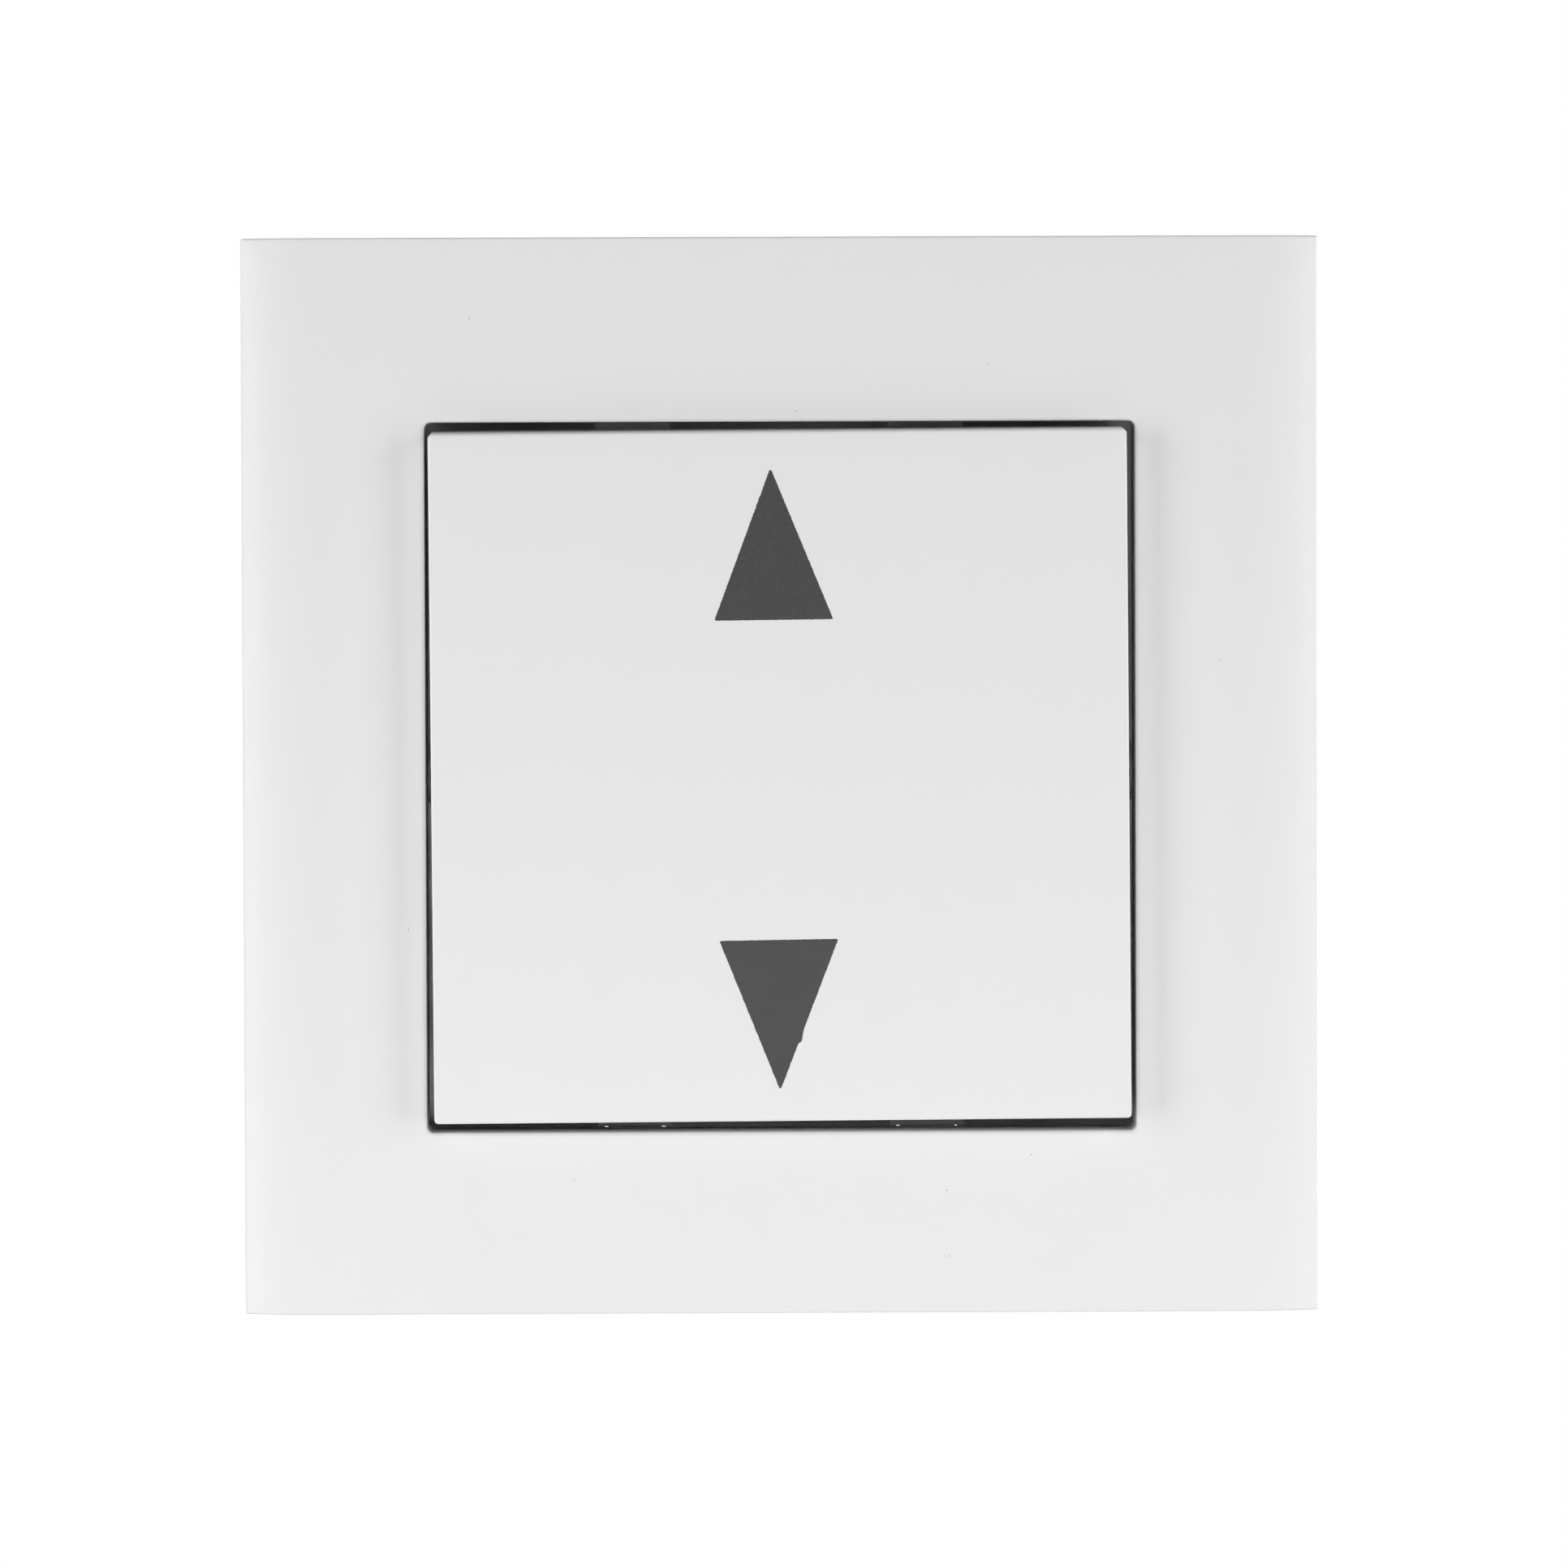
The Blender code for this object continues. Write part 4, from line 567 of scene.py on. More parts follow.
def rocker_rows(s):
    """The cap's wall in section, from the middle of its face round its edge to its inside."""
    half, inside, rim, fillet = s.size / 2, s.face_out - s.face_wall, s.rim_round, s.fillet
    face, side = half - s.edge_round, s.face_out - s.edge_round - s.crown
    inner, face_corner = half - s.wall, s.corner - s.edge_round
    middle = (0, s.face_out, 0, 0, 1)
    crown_start = (face - s.crown_width, s.face_out, face_corner, 0, 1)
    face_end = (face, s.face_out - s.crown, face_corner, 0, 1)
    side_start = (half, side, s.corner, 0, 1)
    side_end = (half, s.back_out + rim, s.corner, 0, 1)
    rim_start = (half - rim, s.back_out, s.corner, 0, 1)
    rim_end = (inner + rim, s.back_out, s.corner, 0, 1)
    inner_start = (inner, s.back_out + rim, s.corner, 0, 1)
    inner_end = (inner, inside - fillet, s.corner, 0, 1)
    ceiling = (inner - fillet, inside, s.corner / 2, 0, 1)
    inside_middle = (0, inside, 0, 0, 1)
    return np.concatenate(
        [
            run(middle, crown_start, 16),
            crown_rows(crown_start, face_end, 14),
            turn((face, side), s.edge_round, 85, 0, face_end, side_start, 10),
            run(side_start, side_end, 8),
            turn((half - rim, s.back_out + rim), rim, 0, -90, side_end, rim_start, 3),
            run(rim_start, rim_end, 2),
            turn((inner + rim, s.back_out + rim), rim, -90, -180, rim_end, inner_start, 3),
            run(inner_start, inner_end, 6),
            turn((inner - fillet, inside - fillet), fillet, 0, 90, inner_end, ceiling, 5),
            run(ceiling, inside_middle, 12),
            [inside_middle],
        ]
    )


def crown_rows(start, end, steps):
    """Rows whose fall grows as the square of the way from start to end."""
    rows = run(start, end, steps)
    way = (rows[:, 0] - start[0]) / (end[0] - start[0])
    rows[:, 1] = start[1] + (end[1] - start[1]) * way**2
    return rows


def tapered(points, s):
    """Points whose height goes in proportion from the back edge's height to the face's."""
    way = (-points[..., 1] - s.back_out) / (s.face_out - s.back_out)
    points[..., 2] *= (s.back_height + (s.height - s.back_height) * way) / s.size
    return points


def rocker_inside(s):
    """Two stiffening ribs, and four legs that snap into the carrier."""
    inside, half = s.face_out - s.face_wall, s.size / 2 - s.wall / 2
    forms = []
    for place in (-s.rib_place, s.rib_place):
        low = (-half, -inside - s.face_wall / 2, place - s.rib / 2)
        high = (half, -inside + s.rib_height, place + s.rib / 2)
        forms.append(soft_box(low, high))
    root, hook, tip = inside + s.face_wall / 2, s.leg_hook_out, s.leg_hook_out - s.leg_thickness
    near, far = s.leg_z, s.leg_z + s.leg_thickness
    outline = np.array(
        [(-root, near), (-tip, near), (-tip, far), (-hook, far + s.leg_hook), (-hook, far), (-root, far)]
    )
    return forms + four_legs(outline, s.leg_x, s.leg_width)


def twisted(points, angle):
    """Points turned about the line through the rocker's middle, as the crooked cap is seated."""
    x, z = points[..., 0].copy(), points[..., 2].copy()
    points[..., 0] = x * math.cos(angle) - z * math.sin(angle)
    points[..., 2] = x * math.sin(angle) + z * math.cos(angle)
    return points


class SHUTTER_OT_rocker(bpy.types.Operator):
    """Make the rocker's cap, seated a little crooked in its opening"""

    bl_idname = "shutter.rocker"
    bl_label = "Rocker"

    def execute(self, context):
        s = settings().rocker
        cap = form(square_surface(rocker_rows(s), square_path(per_side=72, per_corner=6)))
        tapered(cap.points, s)
        forms = [cap] + rocker_inside(s)
        for part in forms:
            twisted(part.points, s.twist)
            part.points[..., 0] += s.shift
        mesh = mesh_of("rocker_cap", forms)
        piece("rocker_cap", mesh, "rocker", "rocker_plastic", "rocker")
        return {"FINISHED"}


# Arrows

# Where the print's flaw starts, is highest and ends, as shares of the way to the arrow's tip
TOOTH = (0.595, 0.67, 0.69)


def round_triangle(corners, radius, per_edge=150, per_corner=8):
    """A triangle's outline with round corners, as points and outward directions.

    Each side is moved inwards by the radius, and the moved corners are joined by arcs.
    """
    corners = np.asarray(corners, float)
    ahead, behind = np.roll(corners, -1, axis=0), np.roll(corners, 1, axis=0)
    along = (ahead - corners) / np.linalg.norm(ahead - corners, axis=1, keepdims=True)
    outward = np.stack([along[:, 1], -along[:, 0]], axis=1)
    back = (behind - corners) / np.linalg.norm(behind - corners, axis=1, keepdims=True)
    bisector = along + back
    bisector /= np.linalg.norm(bisector, axis=1, keepdims=True)
    sine = np.abs(along[:, 0] * bisector[:, 1] - along[:, 1] * bisector[:, 0])
    centres = corners + bisector * (radius / sine)[:, None]
    points, directions = [], []
    for n in range(3):
        before, after = outward[n - 1], outward[n]
        t = np.linspace(0, 1, per_corner)[:, None]
        fan = before * (1 - t) + after * t
        fan /= np.linalg.norm(fan, axis=1, keepdims=True)
        points.append(centres[n] + radius * fan)
        directions.append(fan)
        t = np.linspace(0, 1, per_edge + 1)[1:-1, None]
        start, end = centres[n] + radius * after, centres[(n + 1) % 3] + radius * after
        points.append(start * (1 - t) + end * t)
        directions.append(np.repeat(after[None], len(t), axis=0))
    return np.concatenate(points), np.concatenate(directions)


def ragged(count, seed):
    """A closed line of small waves between about -1 and 1: a sum of sines at many pitches."""
    random = np.random.default_rng(seed)
    t = np.linspace(0, 2 * np.pi, count, endpoint=False)
    waves = np.arange(12, 200)
    phases, weights = random.uniform(0, 2 * np.pi, len(waves)), random.normal(0, 1, len(waves))
    line = (weights[:, None] * np.sin(waves[:, None] * t + phases[:, None])).sum(axis=0)
    return line / (2 * line.std())


def arrow_film(outline, out, film):
    """A thin closed film: the outline, the same slightly smaller at its top, then the middle."""
    middle = outline.mean(axis=0)
    shares = np.array([0.0, 1.0, 0.996, 0.98, 0.9, 0.7, 0.45, 0.2, 0.0])
    heights = np.array([0.0, 0.0, 0.75, 1.0, 1.0, 1.0, 1.0, 1.0, 1.0]) * film
    flat = middle + (outline - middle) * shares[:, None, None]
    depth = np.broadcast_to(-(out + heights)[:, None], flat.shape[:2])
    return form(np.stack([flat[..., 0], depth, flat[..., 1]], axis=-1))


def arrow_outline(place, width, height, lean, angle, s, seed, tooth=0.0):
    """A tall triangle on its base's middle, leaning and turned a little, with a ragged edge.

    The tooth is one flaw of the print on the right edge, which grows and falls off evenly.
    """
    corners = np.array([(-width / 2, 0), (width / 2, 0), (lean, height)])
    if height < 0:
        corners = corners[::-1]
    points, outward = round_triangle(corners, s.corner)
    offset = s.rag * ragged(len(points), seed)
    if tooth:
        way, right = points[:, 1] / height, points[:, 0] > 0
        offset = offset + tooth * right * np.interp(way, TOOTH, (0, 1, 0))
    points = points + outward * offset[:, None]
    cosine, sine = math.cos(angle), math.sin(angle)
    x = place[0] + points[:, 0] * cosine - points[:, 1] * sine
    z = place[1] + points[:, 0] * sine + points[:, 1] * cosine
    return np.stack([x, z], axis=1)


class SHUTTER_OT_arrows(bpy.types.Operator):
    """Print the two arrows on the rocker's face"""

    bl_idname = "shutter.arrows"
    bl_label = "Arrows"

    def execute(self, context):
        s, rocker = settings().arrows, settings().rocker
        outlines = {
            "arrow_up_print": arrow_outline(
                s.up_place, s.up_width, s.up_height, s.up_lean, s.up_turn, s, 3
            ),
            "arrow_down_print": arrow_outline(
                s.down_place, s.down_width, -s.down_height, s.down_lean, s.down_turn, s, 8, s.tooth
            ),
        }
        for name, outline in outlines.items():
            film = arrow_film(outline, rocker.face_out, s.film)
            twisted(film.points, rocker.twist)
            piece(name, mesh_of(name, [film]), "rocker", "arrow_print")
        return {"FINISHED"}


# Dust

# Middles of the motes on the cover frame's front, in millimetres across and up
MOTES = (
    (-22.96, 34.01),
    (1.21, 27.08),
    (32.68, 8.48),
    (-27.69, -11.32),
    (-15.47, -29.98),
    (18.54, -28.25),
    (12.25, -30.89),
    (12.41, -35.79),
)


def mote(x, z, out, radius):
    """A speck of dust: half a ball, flattened to a third of its height."""
    rise = np.radians(np.linspace(-30, 90, 7))[:, None]
    around = np.radians(np.linspace(0, 360, 12, endpoint=False))
    ring = radius * np.cos(rise)
    y = -out - radius / 3 * np.sin(rise) + 0 * around
    points = np.stack([x + ring * np.cos(around), y, z + ring * np.sin(around)], axis=-1)
    return form(points, capped=True)


class SHUTTER_OT_dust(bpy.types.Operator):
    """Lay a few motes of dust on the cover frame"""

    bl_idname = "shutter.dust"
    bl_label = "Dust"

    def execute(self, context):
        s = settings()
        out, radius = s.frame.crown_out, s.finishes.mote
        motes = [mote(x * MM, z * MM, out, radius) for x, z in MOTES]
        piece("frame_dust", mesh_of("frame_dust", motes), "insert", "frame_plastic", look="dust")
        return {"FINISHED"}


# Screws and springs

# Shares of a screw head's height
HEAD_DOME = 0.65
HEAD_BEVEL = 0.05
RECESS_DEPTH = 0.6
# Shares of a screw head's radius
HEAD_FOOT = 0.97
RECESS_SOFT = 0.07
SCREW_TIP = 0.5  # radius and length of a screw's tip, as a share of its shank's radius
SCREW_COLUMNS = 96  # points round a screw
DOME_ROWS = 34  # rows of points from the middle of a screw's head to its edge
THREAD_ROWS = 8  # rows of points in one turn of a thread
FLANK_SLOPE = 1.25  # how fast a thread falls off from its crest
CREST_FLAT = 0.12  # how much of that fall is cut off, which leaves the crest flat
END_PITCH = 2.2  # pitch of a spring's end turns, in radii of its wire


def recess_depth(x, z, reach, half_width, soft):
    """Two crossed slots: 1 inside, 0 outside, with a soft edge of the given width."""

    def slot(a, b):
        along = np.clip((reach - np.abs(a)) / soft, 0, 1)
        across = np.clip((half_width - np.abs(b)) / soft, 0, 1)
        return np.minimum(along, across)

    depth = np.maximum(slot(x, z), slot(z, x))
    return depth * depth * (3 - 2 * depth)


def screw_form(node, head, shank, pitch, thread, s):
    """A pan-head screw along Y that fills its node's box and whose head ends at a distance out.

    The head is a quarter ellipse in section with a cross recess pressed in. The shank's radius
    is full at the thread's crest and falls by the thread's depth in between, where the crest
    moves along Y by one pitch a turn.
    """
    low, high = (np.array(corner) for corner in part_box(node))
    centre, radius = (low + high) / 2, (high[0] - low[0]) / 2
    angle = np.linspace(0, 2 * np.pi, SCREW_COLUMNS, endpoint=False)
    under = -head
    height = under - low[1]
    rise = np.radians(np.linspace(0, 90, DOME_ROWS))[:, None]
    ring = radius * np.sin(rise)
    x, z = ring * np.cos(angle), ring * np.sin(angle)
    dome = low[1] + HEAD_DOME * height * (1 - np.cos(rise)) + 0 * x
    reach, half_width = s.recess_reach * radius, s.recess_width * radius / 2
    pressed = recess_depth(x, z, reach, half_width, RECESS_SOFT * radius)
    dome = dome + RECESS_DEPTH * height * pressed
    skirt = [(radius, under - HEAD_BEVEL * height), (radius * HEAD_FOOT, under), (shank, under)]
    rows = int((high[1] - under) / pitch * THREAD_ROWS)
    y = np.linspace(under, high[1] - shank * SCREW_TIP, rows)[:, None]
    phase = (y - under) / pitch - angle / (2 * np.pi)
    saw = np.abs(2 * (phase - np.floor(phase)) - 1)
    fade = np.clip((y - under) / pitch, 0, 1) * np.clip((high[1] - y) / (2 * pitch), 0, 1)
    groove = shank - thread * np.clip(FLANK_SLOPE * saw - CREST_FLAT, 0, 1) * fade
    tip = [(shank * SCREW_TIP, high[1]), (0, high[1])]

    def rings(r, y):
        return np.stack([r * np.cos(angle), y + 0 * r * angle, r * np.sin(angle)], axis=-1)

    def turned(profile):
        return rings(*np.array(profile, float).T[:, :, None])

    head_points = np.stack([x, dome, z], axis=-1)
    points = np.concatenate([head_points, turned(skirt), rings(groove, y), turned(tip)])
    points += (centre[0], 0, centre[2])
    return form(points)


def spring_form(x, z, start, end, s, steps=28, sides=10):
    """A wire carried along a helix. Its end turns lie close and the pitch is even between them."""
    turns, coil = s.spring_turns, s.spring_coil
    t = np.linspace(0, turns, turns * steps + 1)
    close = END_PITCH * s.spring_wire
    y = np.interp(t, (0, 1, turns - 1, turns), (start, start + close, end - close, end))
    angle = 2 * np.pi * t
    outward = np.stack([np.cos(angle), 0 * t, np.sin(angle)], axis=1)
    centre = np.stack([x + coil * np.cos(angle), y, z + coil * np.sin(angle)], axis=1)
    across = np.radians(np.linspace(0, 360, sides, endpoint=False))
    up = np.array([0.0, 1.0, 0.0])
    ring = np.cos(across)[None, :, None] * outward[:, None] + np.sin(across)[None, :, None] * up
    return form(centre[:, None] + s.spring_wire * ring, capped=True)


class SHUTTER_OT_screws(bpy.types.Operator):
    """Make the claw screws, with their thread, and the four cover screws"""

    bl_idname = "shutter.screws"
    bl_label = "Screws"

    def execute(self, context):
        s = settings().insert
        claw = (s.claw_head, s.claw_shank, s.claw_pitch, s.claw_thread)
        cover = (s.cover_head, s.cover_shank, s.cover_pitch, s.cover_thread)
        sizes = {"claw_screw_left": claw, "claw_screw_right": claw}
        sizes |= {f"cover_screw_{n}": cover for n in range(1, 5)}
        for node, size in sizes.items():
            mesh = mesh_of(f"{node}_threaded", [screw_form(node, *size, s)])
            piece(f"{node}_threaded", mesh, BODY_OF[node], "zinc_steel", node)
        return {"FINISHED"}


class SHUTTER_OT_springs(bpy.types.Operator):
    """Wind the two return springs"""

    bl_idname = "shutter.springs"
    bl_label = "Springs"

    def execute(self, context):
        s = settings().insert
        for name in ("up", "down"):
            node = f"{name}_return_spring"
            low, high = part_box(node)
            x, z = (low.x + high.x) / 2, (low.z + high.z) / 2
            start, end = low.y + s.spring_wire, high.y - s.spring_wire
            made = spring_form(x, z, start, end, s)
            mesh = mesh_of(f"{node}_wound", [made])
            wound = piece(f"{node}_wound", mesh, BODY_OF[node], "spring_steel", node)
            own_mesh(wound)
        return {"FINISHED"}


# Pieces that keep the model's shape, with their edges rounded

FLAT_WITHIN = 0.5  # degrees between two faces within which they become one
ROUND_FROM = 35  # degrees between two faces from which their edge is rounded
SHARP_FROM = 20  # degrees from which the shading breaks at an edge
LARGE_FACES = 90  # weight of large faces in the shading, where 50 is neutral
MOULDED = {
    "housing_plastic": ("housing", "housing_cover", "rocker_carrier", "spring_seat"),
    "lever_plastic": (
        "up_plunger",
        "down_plunger",
        "release_lever_common",
        "release_lever_up",
        "release_lever_down",
    ),
}
STAMPED = {
    "zinc_steel": ("support_ring", "claw_left", "claw_right", "claw_nut_left", "claw_nut_right"),
    "brass": ("contact_lever", "common_busbar", "up_busbar", "down_busbar"),
    "spring_steel": ("wire_clamp_common", "wire_clamp_up", "wire_clamp_down"),
}


def rounded_copy(node, slot, width):
    """A merged copy of a node whose sharp edges get a small rounding. Flat faces stay flat."""
    mesh = frame["nodes"][node].data.copy()
    bm = bmesh.new()
    bm.from_mesh(mesh)
    bmesh.ops.remove_doubles(bm, verts=bm.verts, dist=MERGE)
    flat, sharp = math.radians(FLAT_WITHIN), math.radians(ROUND_FROM)
    bmesh.ops.dissolve_limit(bm, angle_limit=flat, verts=bm.verts, edges=bm.edges)
    edges = [edge for edge in bm.edges if edge.calc_face_angle(0.0) > sharp]
    bmesh.ops.bevel(
        bm, geom=edges, affect="EDGES", offset=width, segments=2, profile=0.5, clamp_overlap=True
    )
    bm.to_mesh(mesh)
    bm.free()
    tidy(mesh, SHARP_FROM)
    made = piece(f"{node}_rounded", mesh, BODY_OF[node], slot, node)
    normals = made.modifiers.new("flat_faces", "WEIGHTED_NORMAL")
    normals.mode, normals.weight, normals.keep_sharp = "FACE_AREA", LARGE_FACES, True
    return made


class SHUTTER_OT_mouldings(bpy.types.Operator):
    """Finish the moulded pieces of the insert"""

    bl_idname = "shutter.mouldings"
    bl_label = "Moulded pieces"

    def execute(self, context):
        for slot, nodes in MOULDED.items():
            for node in nodes:
                rounded_copy(node, slot, settings().insert.moulded_round)
        return {"FINISHED"}


class SHUTTER_OT_stampings(bpy.types.Operator):
    """Finish the punched and bent pieces of the insert"""

    bl_idname = "shutter.stampings"
    bl_label = "Stamped pieces"

    def execute(self, context):
        s = settings().insert
        for slot, nodes in STAMPED.items():
            for node in nodes:
                made = rounded_copy(node, slot, s.sheet_round)
                if node.startswith("wire_clamp"):
                    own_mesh(made)
        return {"FINISHED"}


# Shader node groups

VALUE, COLOUR, VECTOR = "NodeSocketFloat", "NodeSocketColor", "NodeSocketVector"
# Numbers of the Mix node's sockets for colours
MIX_SHARE, MIX_A, MIX_B, MIXED = 0, 6, 7, 2


def opaque(tone, strength=1.0):
    """A colour as a socket takes it, made darker or lighter by a strength."""
    return (*(c * strength for c in tone), 1)


class Graph:
    """Adds nodes to a node tree and joins them, with inputs given as numbers or sockets."""

    def __init__(self, tree):
        self.tree = tree

    def fill(self, node, inputs):
        for name, value in inputs.items():
            if isinstance(value, bpy.types.NodeSocket):
                self.tree.links.new(value, node.inputs[name])
            else:
                node.inputs[name].default_value = value

    def add(self, kind, inputs=None, **options):
        node = self.tree.nodes.new(kind)
        for name, value in options.items():
            setattr(node, name, value)
        self.fill(node, inputs or {})
        return node

    def place(self):
        return self.add("ShaderNodeTexCoord").outputs["Object"]

    def noise(self, vector, scale, detail=2.0, roughness=0.5):
        inputs = {"Vector": vector, "Scale": scale, "Detail": detail, "Roughness": roughness}
        return self.add("ShaderNodeTexNoise", inputs).outputs["Fac"]

    def spread(self, value, low, high, new_low, new_high):
        names = ("Value", "From Min", "From Max", "To Min", "To Max")
        inputs = dict(zip(names, (value, low, high, new_low, new_high)))
        return self.add("ShaderNodeMapRange", inputs).outputs["Result"]

    def maths(self, operation, a, b=0.0):
        return self.add("ShaderNodeMath", {0: a, 1: b}, operation=operation).outputs[0]

    def around_zero(self, noise, strength):
        return self.maths("MULTIPLY", self.maths("SUBTRACT", noise, 0.5), strength)

    def mix(self, share_of_b, a, b):
        inputs = {MIX_SHARE: share_of_b, MIX_A: a, MIX_B: b}
        return self.add("ShaderNodeMix", inputs, data_type="RGBA").outputs[MIXED]

    def bump(self, height, distance, strength):
        inputs = {"Height": height, "Distance": distance, "Strength": strength}
        return self.add("ShaderNodeBump", inputs).outputs["Normal"]


def moulded_skin(g, given, place):
    """A moulded surface: fine grain for the bump, and slow changes of shade and gloss."""
    fine = g.noise(place, given["Grain Size"], 3.0, 0.6)
    slow = g.noise(place, 60.0, 3.0, 0.55)
    flow = g.noise(place, 420.0)
    darker = g.maths("ABSOLUTE", g.around_zero(slow, given["Mottle"]))
    return {
        "Colour": g.mix(darker, given["Colour"], (0.35, 0.35, 0.33, 1)),
        "Roughness": g.maths("ADD", given["Roughness"], g.around_zero(flow, 0.12)),
        "Height": g.maths("MULTIPLY", fine, given["Grain"]),
    }


def dust_specks(g, given, place):
    """Rare small specks: 1 on a speck and 0 elsewhere. Cells without a speck have a high number."""
    cells = g.add("ShaderNodeTexVoronoi", {"Vector": place, "Scale": given["Scale"]})
    near = g.spread(cells.outputs["Distance"], given["Radius"], 0.0, 0.0, 1.0)
    number = g.add("ShaderNodeSeparateColor", {"Color": cells.outputs["Color"]}).outputs[0]
    return {"Mask": g.maths("MULTIPLY", near, g.maths("LESS_THAN", number, given["Share"]))}


def metal_skin(g, given, place):
    """A metal surface: rolling streaks along one axis, cloudy plating and a few dull marks."""
    stretch = {0: place, 1: given["Stretch"]}
    stretched = g.add("ShaderNodeVectorMath", stretch, operation="MULTIPLY").outputs[0]
    streaks = g.noise(stretched, 5200.0, 3.0, 0.6)
    cloud = g.noise(place, 300.0, 4.0, 0.6)
    marks = g.spread(g.noise(place, 900.0, 3.0, 0.65), 0.6, 0.72, 0.0, 1.0)
    tone = g.mix(g.maths("MULTIPLY", cloud, given["Cloud"]), given["Colour"], given["Dull"])
    lines = g.around_zero(streaks, given["Streak"])
    patches = g.around_zero(cloud, given["Cloud"])
    return {
        "Colour": g.mix(g.maths("MULTIPLY", marks, 0.25), tone, given["Dull"]),
        "Roughness": g.maths("ADD", g.maths("ADD", given["Roughness"], lines), patches),
        "Height": streaks,
    }


# Each group's maker, its inputs with kind and default, and its outputs with kind
SKIN_OUTPUTS = {"Colour": COLOUR, "Roughness": VALUE, "Height": VALUE}
SKINS = {
    "moulded_skin": (
        moulded_skin,
        {
            "Colour": (COLOUR, (1, 1, 1, 1)),
            "Roughness": (VALUE, 0.4),
            "Grain Size": (VALUE, 4000.0),
            "Grain": (VALUE, 0.5),
            "Mottle": (VALUE, 0.02),
        },
        SKIN_OUTPUTS,
    ),
    "dust_specks": (
        dust_specks,
        {"Scale": (VALUE, 260.0), "Radius": (VALUE, 0.035), "Share": (VALUE, 0.03)},
        {"Mask": VALUE},
    ),
    "metal_skin": (
        metal_skin,
        {
            "Colour": (COLOUR, (0.6, 0.6, 0.6, 1)),
            "Dull": (COLOUR, (0.3, 0.3, 0.3, 1)),
            "Roughness": (VALUE, 0.3),
            "Streak": (VALUE, 0.1),
            "Cloud": (VALUE, 0.2),
            "Stretch": (VECTOR, (1.0, 1.0, 0.05)),
        },
        SKIN_OUTPUTS,
    ),
}


def skin(name):
    """A node group of the table above, made when it is first asked for."""
    tree = bpy.data.node_groups.get(name)
    if tree:
        return tree
    tree = bpy.data.node_groups.new(name, "ShaderNodeTree")
    make, inputs, outputs = SKINS[name]
    for label, (kind, default) in inputs.items():
        socket = tree.interface.new_socket(name=label, in_out="INPUT", socket_type=kind)
        socket.default_value = default
    for label, kind in outputs.items():
        tree.interface.new_socket(name=label, in_out="OUTPUT", socket_type=kind)
    g = Graph(tree)
    g.add("NodeGroupOutput", make(g, g.add("NodeGroupInput").outputs, g.place()))
    return tree


# Materials


def dress(g, shader, name, inputs, bump_distance, bump_strength):
    """Joins a skin group's outputs to a shader, its height through a bump."""
    made = g.add("ShaderNodeGroup", inputs, node_tree=skin(name)).outputs
    bump = g.bump(made["Height"], bump_distance, bump_strength)
    g.fill(shader, {"Base Color": made["Colour"], "Roughness": made["Roughness"], "Normal": bump})


def white_plastic(g, shader, tone, roughness, grain, speck_share):
    """White moulded plastic with a few dust specks."""
    specks = g.add("ShaderNodeGroup", {"Share": speck_share}, node_tree=skin("dust_specks"))
    cover = g.maths("MULTIPLY", specks.outputs["Mask"], 0.45)
    specked = g.mix(cover, opaque(tone), (0.2, 0.19, 0.18, 1))
    inputs = {"Colour": specked, "Roughness": roughness, "Grain": grain, "Mottle": 0.03}
    dress(g, shader, "moulded_skin", inputs, 0.01 * MM, 0.3)
    g.fill(shader, {"IOR": 1.5})


def plain_plastic(g, shader, tone, roughness, grain):
    """Moulded technical plastic, with grain and a little mottling."""
    inputs = {"Colour": opaque(tone), "Roughness": roughness, "Grain": grain}
    inputs |= {"Grain Size": 2600.0, "Mottle": 0.25}
    dress(g, shader, "moulded_skin", inputs, 0.02 * MM, 0.5)


def metal(g, shader, tone, roughness, dull, streak, cloud):
    """Bare or plated metal."""
    inputs = {"Colour": opaque(tone), "Dull": opaque(dull), "Roughness": roughness}
    inputs |= {"Streak": streak, "Cloud": cloud}
    dress(g, shader, "metal_skin", inputs, 0.004 * MM, 0.35)
    g.fill(shader, {"Metallic": 1.0})


def arrow_print(g, shader, tone, roughness):
    """Matt grey print with faint screen grain and darker clouds, paler towards the bottom."""
    place, reach = g.place(), settings().finishes.print_spread
    grain = g.spread(g.noise(place, 5200.0, 2.0, 0.6), 0.35, 0.65, 0.0, 1.0)
    cloud = g.noise(place, 700.0, 3.0, 0.6)
    height = g.add("ShaderNodeSeparateXYZ", {"Vector": place}).outputs["Z"]
    # The print's colour is made paler towards the bottom of the rocker, by its height.
    paler_below = g.spread(height, -reach, reach, 0.8, 0.0)
    ink = g.mix(grain, opaque(tone, 0.86), opaque(tone, 1.12))
    ink = g.mix(g.maths("MULTIPLY", cloud, 0.35), ink, opaque(tone, 0.86))
    ink = g.mix(paler_below, ink, opaque(tone, 1.2))
    gloss = g.spread(cloud, 0.3, 0.7, roughness - 0.06, roughness + 0.06)
    bump = g.bump(grain, 0.005 * MM, 0.4)
    g.fill(shader, {"Base Color": ink, "Roughness": gloss, "Normal": bump})


def uneven_matt(g, shader, tone, roughness, scale, darkest):
    """One colour with cloudy darker places."""
    clouds = g.mix(g.noise(g.place(), scale), opaque(tone), opaque(tone, darkest))
    g.fill(shader, {"Base Color": clouds, "Roughness": roughness})


